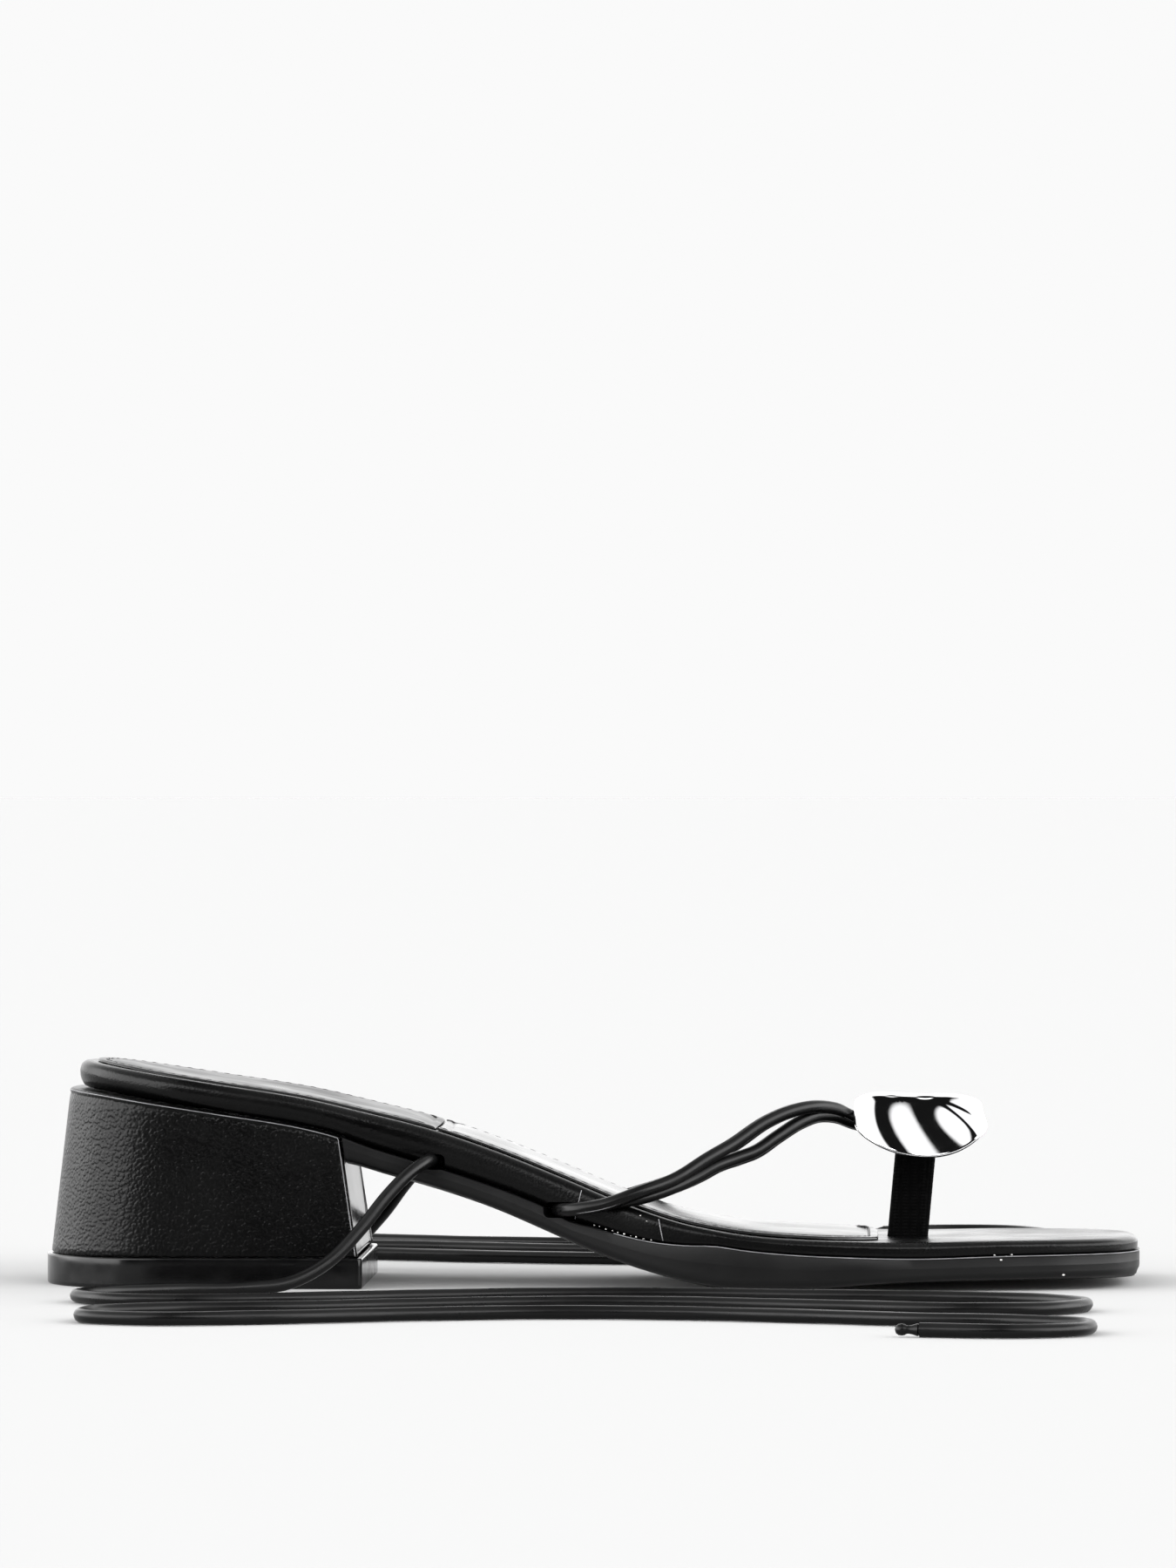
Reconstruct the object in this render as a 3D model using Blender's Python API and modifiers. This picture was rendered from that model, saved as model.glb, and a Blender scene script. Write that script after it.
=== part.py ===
"""Block heel thong sandal with two ankle ties, for a right foot.

Metres, +Z up. The toe points along +X, the outer side of the foot is -Y and the floor is z = 0.
The origin is under the middle of the shoe's length and width.
"""
import math

import bmesh
import bpy
from mathutils import Matrix, Vector

MM = 0.001

# Overall sizes of the last and the sole
SOLE_LENGTH = 245.0 * MM
HEEL_SWEEP = 7.0 * MM
BALL_WIDTH = 79.0 * MM
SEAT_HEIGHT = 51.8 * MM
BALL_HEIGHT = 11.4 * MM
TOE_SPRING = 2.0 * MM
CLEARANCE = 0.3 * MM

# Footbed
FOOTBED_THICKNESS = 8.1 * MM
FOOTBED_EDGE_ROUND = 3.2 * MM
FOREFOOT_ROLL = 1.3 * MM
FOOTBED_DISH = 1.2 * MM

# Outsole
OUTSOLE_STEP = 0.4 * MM
OUTSOLE_EDGE_ROUND = 1.6 * MM
CROWN_LATERAL = 1.3 * MM
CROWN_MEDIAL = 0.4 * MM
CROWN_FLAT = 0.5

# Heel and its top piece
HEEL_TOP_LENGTH = 64.1 * MM
HEEL_TOP_SET_IN = -1.6 * MM
HEEL_TOP_WIDTH = 53.0 * MM
HEEL_BASE_LENGTH = 72.5 * MM
HEEL_BASE_WIDTH = 56.6 * MM
HEEL_COVER_ROUND = 0.8 * MM
HEEL_CORNER_ROUND = 1.2 * MM
HEEL_BACK_POWER = 2.3
HEEL_BACK_SHARE = 0.6
HEEL_CENTRE_ALONG = 0.14
TOP_PIECE_HEIGHT = 7.0 * MM
TOP_PIECE_PROUD = 1.0 * MM
TOP_PIECE_ROUND = 0.5 * MM

# Socks on the footbed
SOCK_MARGIN = 4.6 * MM
SOCK_THICKNESS = 1.2 * MM
SOCK_SEAM_ALONG = 0.343
SOCK_END_ALONG = 0.755
SOCK_END_ROUND = 14.0 * MM
SOCK_END_NARROWING = 3.6 * MM
SOCK_EDGE_SHARE = 0.35

# Straps, post and ornament
CORD_DIAMETER = 3.0 * MM
SLIT_ALONG = 0.457
SLIT_LENGTH = 10.5 * MM
SLIT_HEIGHT = 4.4 * MM
SLIT_DEPTH = 6.0 * MM
STRAP_END_ALONG = 0.778
STRAP_CREST = 40.9 * MM
POST_ALONG = 0.7818
POST_OFFSET = 6.0 * MM
POST_WIDTH = 9.4 * MM
POST_THICKNESS = 4.5 * MM
POST_LEAN = 2.4 * MM
POST_POWER = 3.6
POST_SLOT_OVERRUN = 4.0 * MM
KNOT_LENGTH = 12.0 * MM
KNOT_WIDTH = 8.6 * MM
KNOT_HEIGHT = 8.0 * MM
KNOT_HEADROOM = 1.0 * MM
DISC_LENGTH = 32.2 * MM
DISC_WIDTH = 30.0 * MM
DISC_TOP = 43.2 * MM
DISC_THICKNESS = 1.0 * MM
DISC_FALL_ALONG = 3.0 * MM
DISC_FALL_POWER = 8.0
DISC_FALL_ACROSS = 13.4 * MM
DISC_FORWARD = 0.6 * MM
DISC_POWER = 6.4
DISC_WAIST = 0.91
DISC_BULGE = 0.98
DISC_LEAN = 0.06
DISC_SPOKES = 36
DISC_RINGS = 6
WAVE_SLOPE = 0.12
WAVE_CREST_SHARE = 0.15

# Ankle ties
TIE_DIAMETER = 3.0 * MM
TIE_SLIT_ALONG = 0.339
TIE_SLIT_LENGTH = 7.0 * MM
TIE_POINTS = 100
TIP_DIAMETER = 2.6 * MM
TIP_LENGTH = 5.0 * MM
TIP_TAPER = 0.75

# Sampling of the curved forms
POINTS_PER_SIDE = 42
END_CROWDING = 0.5
POINTS_ACROSS = 6


def table(columns, rows):
    """Returns a list of rows whose values go by the columns' names."""
    names = columns.split()
    return [dict(zip(names, row)) for row in rows]


# Plan outline: shares of the sole's length and of the ball width
OUTLINE = table("along lateral medial", (
    (0.000, 0.008, 0.008),
    (0.012, -0.140, 0.156),
    (0.040, -0.240, 0.258),
    (0.080, -0.304, 0.322),
    (0.140, -0.334, 0.350),
    (0.210, -0.338, 0.350),
    (0.280, -0.334, 0.334),
    (0.350, -0.342, 0.306),
    (0.420, -0.370, 0.286),
    (0.490, -0.420, 0.302),
    (0.560, -0.470, 0.360),
    (0.630, -0.500, 0.432),
    (0.700, -0.492, 0.484),
    (0.765, -0.468, 0.500),
    (0.830, -0.434, 0.492),
    (0.890, -0.396, 0.474),
    (0.940, -0.350, 0.444),
    (0.975, -0.282, 0.388),
    (0.994, -0.170, 0.290),
    (1.000, 0.060, 0.060),
))

# Height of the footbed's top edge: share of the rise from ball to seat
TOP_LINE = table("along rise", (
    (0.000, 1.000),
    (0.052, 0.950),
    (0.133, 0.874),
    (0.215, 0.797),
    (0.276, 0.713),
    (0.338, 0.619),
    (0.399, 0.498),
    (0.460, 0.357),
    (0.522, 0.208),
    (0.583, 0.094),
    (0.644, 0.035),
    (0.706, 0.012),
    (0.787, 0.000),
    (0.880, 0.010),
    (1.000, 0.012),
))

# Height of the outsole's underside: share of the same rise, and of the toe spring
BOTTOM_LINE = table("along rise spring", (
    (0.000, 0.860, 0.00),
    (0.256, 0.696, 0.00),
    (0.298, 0.627, 0.00),
    (0.347, 0.543, 0.00),
    (0.396, 0.444, 0.00),
    (0.444, 0.323, 0.00),
    (0.493, 0.196, 0.00),
    (0.541, 0.097, 0.00),
    (0.590, 0.024, 0.00),
    (0.625, 0.000, 0.00),
    (0.697, 0.000, 0.00),
    (0.738, 0.000, 0.32),
    (0.787, 0.000, 0.65),
    (0.860, 0.000, 0.82),
    (1.000, 0.000, 1.00),
))

# Thickness of the footbed at its edge, and how much it is dished
FOOTBED_STACK = table("along thickness dish", (
    (0.000, 0.80, 0.00),
    (0.040, 0.75, 0.30),
    (0.100, 0.75, 0.85),
    (0.180, 0.75, 1.00),
    (0.240, 0.78, 0.90),
    (0.292, 0.95, 0.70),
    (0.340, 1.01, 0.50),
    (0.440, 0.98, 0.40),
    (0.468, 1.09, 0.40),
    (0.490, 0.98, 0.40),
    (0.540, 0.79, 0.35),
    (0.575, 0.58, 0.30),
    (0.612, 0.40, 0.25),
    (0.700, 0.42, 0.25),
    (0.790, 0.43, 0.25),
    (0.920, 0.40, 0.20),
    (1.000, 0.37, 0.00),
))

# Section of the footbed's rim: share of the edge round, share of the thickness
FOOTBED_RIM = table("inset depth", (
    (1.60, 0.00),
    (0.80, 0.01),
    (0.34, 0.09),
    (0.08, 0.25),
    (0.00, 0.46),
    (0.07, 0.72),
    (0.30, 0.93),
    (0.70, 1.00),
))

# Section of the outsole's side: share of the edge round, share of the thickness
OUTSOLE_SIDE = table("inset depth", (
    (1.90, 0.00),
    (0.25, 0.00),
    (0.00, 0.07),
    (0.00, 0.72),
    (0.30, 0.93),
    (1.00, 1.00),
))

# The upper cord of a toe strap: share of the reach, of half the ball width and of the crest
OVER_CORD = table("along lateral medial rise", (
    (0.000, -0.655, 0.440, 0.000),
    (0.010, -0.770, 0.550, 0.000),
    (0.040, -0.858, 0.640, 0.010),
    (0.133, -0.903, 0.665, 0.062),
    (0.236, -0.878, 0.700, 0.185),
    (0.336, -0.785, 0.708, 0.306),
    (0.435, -0.658, 0.670, 0.511),
    (0.501, -0.557, 0.628, 0.636),
    (0.600, -0.413, 0.547, 0.858),
    (0.667, -0.311, 0.489, 0.953),
    (0.736, -0.197, 0.420, 0.996),
    (0.803, -0.072, 0.345, 0.968),
    (0.871, 0.050, 0.276, 0.850),
    (0.927, 0.088, 0.232, 0.805),
    (1.000, 0.112, 0.195, 0.775),
))

# The lower cord of a toe strap, which starts inside the upper one
UNDER_CORD = table("along lateral medial rise", (
    (0.165, -0.880, 0.660, 0.088),
    (0.236, -0.842, 0.666, 0.123),
    (0.318, -0.768, 0.668, 0.203),
    (0.402, -0.663, 0.646, 0.326),
    (0.455, -0.590, 0.620, 0.427),
    (0.515, -0.496, 0.572, 0.498),
    (0.568, -0.425, 0.527, 0.560),
    (0.635, -0.327, 0.471, 0.708),
    (0.702, -0.213, 0.403, 0.846),
    (0.750, -0.129, 0.360, 0.903),
    (0.803, -0.036, 0.306, 0.893),
    (0.860, 0.050, 0.254, 0.820),
    (0.925, 0.103, 0.197, 0.775),
    (1.000, 0.127, 0.177, 0.753),
))

# How much lower the inner strap runs than the outer one: share of the cord diameter
MEDIAL_DROP = table("along drop", (
    (0.00, 0.00),
    (0.24, 0.35),
    (0.45, 0.50),
    (0.65, 0.45),
    (0.85, 0.20),
    (1.00, 0.00),
))

# Ridges and valleys of the ornament in turn: places at the crest, middle and rim, and widths there
WAVES = table("high middle low wide_high wide_middle wide_low", (
    (-0.62, -0.56, -0.20, 0.22, 0.24, 0.20),
    (0.06, 0.12, 0.52, 0.06, 0.22, 0.40),
    (0.20, 0.60, 1.20, 0.03, 0.03, 0.03),
    (0.45, 0.92, 1.40, 0.05, 0.06, 0.06),
))

# Route of the outer tie, in millimetres
TIE_ROUTE_LATERAL = (
    (-35.4, -23.4, 29.6),
    (-36.4, -27.6, 29.3),
    (-39.6, -32.0, 27.4),
    (-45.0, -36.0, 22.0),
    (-51.0, -39.6, 14.4),
    (-58.0, -43.2, 7.2),
    (-66.5, -46.6, 2.7),
    (-77.0, -49.8, 1.6),
    (-92.0, -54.0, 1.6),
    (-105.0, -61.0, 1.6),
    (-112.0, -73.0, 1.6),
    (-105.0, -85.0, 1.6),
    (-90.0, -89.0, 1.6),
    (-66.0, -85.0, 1.6),
    (-38.0, -75.0, 1.6),
    (-8.0, -67.0, 1.6),
    (24.0, -66.0, 1.6),
    (54.0, -71.0, 1.6),
    (82.0, -75.0, 1.6),
    (102.0, -82.0, 1.6),
    (111.0, -95.0, 1.6),
    (104.0, -108.0, 1.6),
    (86.0, -112.0, 1.6),
    (58.0, -105.0, 1.6),
    (28.0, -96.0, 1.6),
    (-4.0, -94.0, 1.6),
    (-36.0, -102.0, 1.6),
    (-64.0, -112.0, 1.6),
    (-88.0, -117.0, 1.6),
    (-103.0, -126.0, 1.6),
    (-104.0, -139.0, 1.6),
    (-91.0, -146.0, 1.6),
    (-66.0, -142.0, 1.6),
    (-36.0, -131.0, 1.6),
    (-6.0, -124.0, 1.6),
    (24.0, -126.0, 1.6),
    (50.0, -134.0, 1.6),
    (74.0, -143.0, 1.6),
    (95.0, -148.0, 1.6),
    (109.0, -157.0, 1.6),
    (108.0, -170.0, 1.6),
    (94.0, -177.0, 1.6),
    (74.0, -174.0, 1.6),
)

# Route of the inner tie, in millimetres
TIE_ROUTE_MEDIAL = (
    (-35.4, 20.6, 29.0),
    (-36.4, 25.0, 28.8),
    (-39.8, 29.6, 26.8),
    (-45.0, 34.0, 21.0),
    (-51.0, 38.6, 13.2),
    (-58.0, 43.0, 6.2),
    (-67.0, 46.8, 2.3),
    (-78.0, 49.6, 1.6),
    (-94.0, 53.0, 1.6),
    (-107.0, 61.0, 1.6),
    (-110.0, 74.0, 1.6),
    (-99.0, 84.0, 1.6),
    (-80.0, 85.0, 1.6),
    (-54.0, 77.0, 1.6),
    (-26.0, 67.0, 1.6),
    (6.0, 61.0, 1.6),
    (36.0, 63.0, 1.6),
    (66.0, 69.0, 1.6),
    (92.0, 70.0, 1.6),
    (107.0, 79.0, 1.6),
    (109.0, 93.0, 1.6),
    (97.0, 103.0, 1.6),
    (76.0, 102.0, 1.6),
    (48.0, 93.0, 1.6),
    (18.0, 89.0, 1.6),
    (-12.0, 94.0, 1.6),
    (-42.0, 104.0, 1.6),
    (-70.0, 110.0, 1.6),
    (-93.0, 114.0, 1.6),
    (-107.0, 124.0, 1.6),
    (-104.0, 137.0, 1.6),
    (-89.0, 142.0, 1.6),
    (-64.0, 136.0, 1.6),
    (-34.0, 125.0, 1.6),
    (-2.0, 119.0, 1.6),
    (30.0, 124.0, 1.6),
    (54.0, 135.0, 1.6),
    (78.0, 143.0, 1.6),
    (98.0, 151.0, 1.6),
    (108.0, 162.0, 1.6),
    (101.0, 175.0, 1.6),
    (84.0, 178.0, 1.6),
    (68.0, 171.0, 1.6),
)

# Sizes that follow from those above
SEAT_RISE = SEAT_HEIGHT - BALL_HEIGHT
HEEL_BACK_X = -(SOLE_LENGTH + HEEL_SWEEP) / 2
SOLE_BACK_X = HEEL_BACK_X + HEEL_SWEEP
CORD_RADIUS = CORD_DIAMETER / 2


def place_along(share):
    """X of a share of the sole's length."""
    return SOLE_BACK_X + share * SOLE_LENGTH


def share_along(x):
    return (x - SOLE_BACK_X) / SOLE_LENGTH


def curve_of(rows, column, key="along"):
    """Returns a smooth function through a table's column that never overshoots its rows."""
    places = [row[key] for row in rows]
    values = [row[column] for row in rows]
    grades = [(values[i + 1] - values[i]) / (places[i + 1] - places[i]) for i in range(len(rows) - 1)]
    slopes = [grades[0]]
    for before, after in zip(grades, grades[1:]):
        slopes.append(2 * before * after / (before + after) if before * after > 0 else 0.0)
    slopes.append(grades[-1])

    def value(place):
        place = min(max(place, places[0]), places[-1])
        span = 0
        while span < len(places) - 2 and places[span + 1] <= place:
            span += 1
        width = places[span + 1] - places[span]
        t = (place - places[span]) / width
        start = (1 + 2 * t) * (1 - t) ** 2 * values[span] + t * (1 - t) ** 2 * width * slopes[span]
        end = t * t * (3 - 2 * t) * values[span + 1] - t * t * (1 - t) * width * slopes[span + 1]
        return start + end

    return value


top_rise = curve_of(TOP_LINE, "rise")
bottom_rise = curve_of(BOTTOM_LINE, "rise")
toe_lift = curve_of(BOTTOM_LINE, "spring")
footbed_share = curve_of(FOOTBED_STACK, "thickness")
dish_share = curve_of(FOOTBED_STACK, "dish")
lateral_share = curve_of(OUTLINE, "lateral")
medial_share = curve_of(OUTLINE, "medial")
medial_drop = curve_of(MEDIAL_DROP, "drop")


def ramp(value, low, high):
    """Smooth step from 0 at low to 1 at high."""
    t = min(max((value - low) / (high - low), 0.0), 1.0)
    return t * t * (3 - 2 * t)


def across_share(x, y):
    """Place across the sole: -1 at the outer edge, 1 at the inner edge."""
    share = share_along(x)
    lateral = lateral_share(share) * BALL_WIDTH
    medial = medial_share(share) * BALL_WIDTH
    half = max((medial - lateral) / 2, MM)
    return min(max((y - (medial + lateral) / 2) / half, -1.0), 1.0)


def forefoot_roll(x, y):
    """The forefoot's inner side lies a little lower than its outer side."""
    return -FOREFOOT_ROLL * ramp(share_along(x), 0.35, 0.60) * (y / BALL_WIDTH + 0.5)


def edge_height(x, y):
    """Top of the footbed's rim."""
    return BALL_HEIGHT + SEAT_RISE * top_rise(share_along(x)) + forefoot_roll(x, y)


def footbed_top(x, y):
    """Top face of the footbed, dished between its rims."""
    dish = FOOTBED_DISH * dish_share(share_along(x)) * (1 - across_share(x, y) ** 2)
    return edge_height(x, y) - dish


def footbed_under(x, y):
    """Underside of the footbed."""
    return edge_height(x, y) - FOOTBED_THICKNESS * footbed_share(share_along(x))


def outsole_top(x, y):
    return footbed_under(x, y) - CLEARANCE


def outsole_under(x, y):
    """Underside of the outsole, flat under the ball and lifted a little at its edges."""
    share = share_along(x)
    across = across_share(x, y)
    crown = CROWN_LATERAL if across < 0 else CROWN_MEDIAL
    rounding = max(abs(across) - CROWN_FLAT, 0.0) / (1 - CROWN_FLAT)
    return SEAT_RISE * bottom_rise(share) + TOE_SPRING * toe_lift(share) + crown * rounding ** 2


def sock_under(x, y):
    return footbed_top(x, y) + CLEARANCE


def sock_top(x, y):
    return sock_under(x, y) + SOCK_THICKNESS


def smooth_path(points, per_span, closed=False):
    """Returns points on a smooth curve through the given ones."""
    count = len(points)
    spans = count if closed else count - 1
    chords = [(points[(i + 1) % count] - points[i]).length for i in range(spans)]
    grades = [(points[(i + 1) % count] - points[i]) / chords[i] for i in range(spans)]
    tangents = []
    for i in range(count):
        if not closed and i in (0, count - 1):
            tangents.append(grades[0] if i == 0 else grades[-1])
            continue
        before, after = i - 1, i % spans
        total = chords[before] + chords[after]
        tangents.append((grades[before] * chords[after] + grades[after] * chords[before]) / total)
    path = []
    for i in range(spans):
        start, end = points[i], points[(i + 1) % count]
        lead, trail = tangents[i] * chords[i], tangents[(i + 1) % count] * chords[i]
        for k in range(per_span):
            t = k / per_span
            path.append(
                start * (1 + 2 * t) * (1 - t) ** 2 + lead * t * (1 - t) ** 2
                + end * t * t * (3 - 2 * t) - trail * t * t * (1 - t)
            )
    if not closed:
        path.append(points[-1].copy())
    return path


def resample(path, count, crowding=0.0):
    """Returns count + 1 points along a path, closer together near its ends."""
    lengths = [0.0]
    for before, after in zip(path, path[1:]):
        lengths.append(lengths[-1] + (after - before).length)
    points = []
    span = 0
    for i in range(count + 1):
        t = i / count
        goal = (t - crowding * math.sin(2 * math.pi * t) / (2 * math.pi)) * lengths[-1]
        while span < len(path) - 2 and lengths[span + 1] < goal:
            span += 1
        part = (goal - lengths[span]) / (lengths[span + 1] - lengths[span])
        points.append(path[span].lerp(path[span + 1], min(max(part, 0.0), 1.0)))
    return points


def foot_outline():
    """Points round the sole's plan: back, outer side, toe, inner side."""
    ends = [Vector((place_along(row["along"]), row["lateral"] * BALL_WIDTH)) for row in OUTLINE]
    inner = [Vector((place_along(row["along"]), row["medial"] * BALL_WIDTH)) for row in OUTLINE[1:-1]]
    samples = 12
    path = smooth_path(ends + inner[::-1], samples, closed=True)
    toe = (len(OUTLINE) - 1) * samples
    outer_side = resample(path[:toe + 1], POINTS_PER_SIDE, END_CROWDING)
    inner_side = resample(path[toe:] + [path[0]], POINTS_PER_SIDE, END_CROWDING)
    return outer_side[:-1] + inner_side[:-1]


def inward_normals(outline):
    """Unit normals of a closed plan outline, pointing inwards."""
    count = len(outline)
    normals = []
    for i in range(count):
        tangent = (outline[(i + 1) % count] - outline[i - 1]).normalized()
        normals.append(Vector((-tangent.y, tangent.x)))
    return normals


FOOT = foot_outline()
FOOT_NORMALS = inward_normals(FOOT)


def inset_foot(distance):
    """The sole's outline drawn in by a distance."""
    return [point + normal * distance for point, normal in zip(FOOT, FOOT_NORMALS)]


def add_ring(mesh, outline, height):
    """Adds a ring of points over a plan outline, each at height(x, y)."""
    return [mesh.verts.new((p.x, p.y, height(p.x, p.y))) for p in outline]


def bridge(mesh, upper, lower):
    """Joins two rings of equal count with a band of faces."""
    count = len(upper)
    for i in range(count):
        after = (i + 1) % count
        mesh.faces.new((upper[i], upper[after], lower[after], lower[i]))


def cap_ring(mesh, ring, height, across):
    """Closes a ring with rows of faces from its one side to its other side."""
    half = len(ring) // 2
    rows = [[ring[0]] * (across + 1)]
    for i in range(1, half):
        start, end = ring[i], ring[-i]
        row = [start]
        for k in range(1, across):
            point = start.co.lerp(end.co, k / across)
            row.append(mesh.verts.new((point.x, point.y, height(point.x, point.y))))
        rows.append(row + [end])
    rows.append([ring[half]] * (across + 1))
    for upper, lower in zip(rows, rows[1:]):
        for k in range(across):
            corners = (upper[k], upper[k + 1], lower[k + 1], lower[k])
            mesh.faces.new(list(dict.fromkeys(corners)))


def make_object(name, mesh, collection):
    """Turns a bmesh into a named object with outward faces."""
    bmesh.ops.recalc_face_normals(mesh, faces=mesh.faces)
    data = bpy.data.meshes.new(name)
    mesh.to_mesh(data)
    mesh.free()
    thing = bpy.data.objects.new(name, data)
    collection.objects.link(thing)
    return thing


def stacked_rings(name, levels, top, bottom, collection, across=POINTS_ACROSS):
    """A closed solid from rings, highest first, capped by a top and a bottom surface."""
    mesh = bmesh.new()
    rings = [add_ring(mesh, outline, height) for outline, height in levels]
    for upper, lower in zip(rings, rings[1:]):
        bridge(mesh, upper, lower)
    cap_ring(mesh, rings[0], top, across)
    cap_ring(mesh, rings[-1], bottom, across)
    return make_object(name, mesh, collection)


def between(top, bottom, share):
    """A height function part of the way down from top to bottom."""
    return lambda x, y: top(x, y) * (1 - share) + bottom(x, y) * share


def material(name, colour, roughness, metallic=0.0):
    look = bpy.data.materials.new(name)
    look.use_nodes = True
    shader = look.node_tree.nodes["Principled BSDF"]
    shader.inputs["Base Color"].default_value = (*colour, 1.0)
    shader.inputs["Roughness"].default_value = roughness
    shader.inputs["Metallic"].default_value = metallic
    return look


def finish(thing, look, smooth_angle=40):
    """Gives an object its material and smooth shading with sharp edges kept."""
    thing.data.materials.clear()
    thing.data.materials.append(look)
    if thing.type == "MESH":
        thing.data.shade_smooth()
        thing.data.set_sharp_from_angle(angle=math.radians(smooth_angle))
    return thing


def add_boolean(thing, cutter, operation="DIFFERENCE"):
    step = thing.modifiers.new(operation.title() + " " + cutter.name, "BOOLEAN")
    step.operation = operation
    step.solver = "EXACT"
    step.object = cutter


def as_cutter(thing):
    """Marks an object as a tool that is no piece of the shoe."""
    thing.hide_render = True
    thing.display_type = "WIRE"
    return thing


def add_block(name, size, matrix, collection, bevel=0.0):
    """A box with its size applied, placed by a matrix."""
    mesh = bmesh.new()
    bmesh.ops.create_cube(mesh, size=1.0)
    bmesh.ops.scale(mesh, vec=size, verts=mesh.verts)
    if bevel:
        bmesh.ops.bevel(mesh, geom=mesh.edges, offset=bevel, segments=2, profile=0.5, affect="EDGES")
    thing = make_object(name, mesh, collection)
    thing.matrix_world = matrix
    return thing


def add_tube(name, points, diameter, collection):
    """A round cord as a curve object with closed ends."""
    curve = bpy.data.curves.new(name, "CURVE")
    curve.dimensions = "3D"
    curve.bevel_depth = diameter / 2
    curve.bevel_resolution = 2
    curve.use_fill_caps = True
    spline = curve.splines.new("POLY")
    spline.points.add(len(points) - 1)
    for spot, point in zip(spline.points, points):
        spot.co = (*point, 1.0)
    thing = bpy.data.objects.new(name, curve)
    collection.objects.link(thing)
    return thing


def tube_mesh(name, points, diameter, collection):
    """A round cord as a welded mesh, ready to be joined with others."""
    tube = add_tube(name + "_curve", points, diameter, collection)
    graph = bpy.context.evaluated_depsgraph_get()
    data = bpy.data.meshes.new_from_object(tube.evaluated_get(graph))
    mesh = bmesh.new()
    mesh.from_mesh(data)
    bmesh.ops.remove_doubles(mesh, verts=mesh.verts, dist=0.00001)
    thing = make_object(name, mesh, collection)
    thing.matrix_world = tube.matrix_world
    bpy.data.objects.remove(tube)
    bpy.data.meshes.remove(data)
    return thing


def make_footbed(shoe):
    """The wrapped board: a rounded rim all round and a dished top."""
    levels = []
    for row in FOOTBED_RIM:
        outline = inset_foot(OUTSOLE_STEP + row["inset"] * FOOTBED_EDGE_ROUND)
        top = footbed_top if row["depth"] == 0 else edge_height
        levels.append((outline, between(top, footbed_under, row["depth"])))
    return stacked_rings("footbed", levels, footbed_top, footbed_under, shoe)


def make_outsole(shoe, tools):
    """The moulded sole from the toe to the front face of the heel."""
    levels = []
    for row in OUTSOLE_SIDE:
        outline = inset_foot(row["inset"] * OUTSOLE_EDGE_ROUND)
        levels.append((outline, between(outsole_top, outsole_under, row["depth"])))
    outsole = stacked_rings("outsole", levels, outsole_top, outsole_under, shoe, across=8)
    rear = add_block("heel_room", (SOLE_LENGTH, 2 * BALL_WIDTH, SOLE_LENGTH), breast_matrix(), tools)
    add_boolean(outsole, as_cutter(rear))
    return outsole


def heel_top_x():
    """X of the heel's top edge at its back and at its front."""
    back = SOLE_BACK_X + HEEL_TOP_SET_IN
    return back, back + HEEL_TOP_LENGTH


def heel_base_x():
    """X of the covered heel's lower edge at its back and at its front."""
    back = HEEL_BACK_X + TOP_PIECE_PROUD
    return back, back + HEEL_BASE_LENGTH


def breast_matrix():
    """Places a large box whose front side lies just ahead of the heel's front face."""
    top_x = heel_top_x()[1]
    base_x = heel_base_x()[1]
    top_z = outsole_top(top_x, 0)
    lean = math.atan2(base_x - top_x, top_z - TOP_PIECE_HEIGHT)
    foot = Vector((base_x + CLEARANCE / math.cos(lean), 0, TOP_PIECE_HEIGHT))
    turn = Matrix.Rotation(-lean, 4, "Y")
    return Matrix.Translation(foot) @ turn @ Matrix.Translation((-SOLE_LENGTH / 2, 0, 0))


def heel_outline(back, front, width, inset=0.0):
    """D-shaped plan of the heel: round back, straight sides, flat front with small corners."""
    half = width / 2 - inset
    rear = back + inset
    face = front - inset
    reach = min(width / 2, (front - back) * HEEL_BACK_SHARE)
    centre = heel_centre()
    side = []
    turns = 12
    for i in range(turns + 1):
        angle = math.pi / 2 * i / turns
        x = rear + reach * (1 - math.cos(angle) ** (2 / HEEL_BACK_POWER))
        side.append((x, half * math.sin(angle) ** (2 / HEEL_BACK_POWER)))
    side.append(((rear + reach + face) / 2, half))
    corner = HEEL_CORNER_ROUND
    for i in range(4):
        angle = math.pi / 2 * i / 3
        side.append((face - corner * (1 - math.sin(angle)), half - corner * (1 - math.cos(angle))))
    side.append((face, half / 2))
    side.append((face, 0.0))
    outer = [Vector((x, centre - y)) for x, y in side]
    inner = [Vector((x, centre + y)) for x, y in side[1:-1]]
    return outer + inner[::-1]


def heel_centre():
    """Y of the middle of the seat."""
    return (lateral_share(HEEL_CENTRE_ALONG) + medial_share(HEEL_CENTRE_ALONG)) * BALL_WIDTH / 2


def make_heel(shoe):
    """The covered block, from the top piece up to the footbed's underside."""
    top_back, top_front = heel_top_x()
    base_back, base_front = heel_base_x()
    base_z = TOP_PIECE_HEIGHT + CLEARANCE
    round_share = HEEL_COVER_ROUND / (SEAT_HEIGHT - FOOTBED_THICKNESS - base_z)
    top = heel_outline(top_back, top_front, HEEL_TOP_WIDTH)
    top_face = heel_outline(top_back, top_front, HEEL_TOP_WIDTH, HEEL_COVER_ROUND)
    base = heel_outline(base_back, base_front, HEEL_BASE_WIDTH)

    def base_height(x, y):
        return base_z

    upper_height = between(outsole_top, base_height, round_share)
    upper = [a.lerp(b, round_share) for a, b in zip(top, base)]
    levels = [(top_face, outsole_top), (upper, upper_height), (base, base_height)]
    return stacked_rings("heel_block", levels, outsole_top, base_height, shoe)


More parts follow.
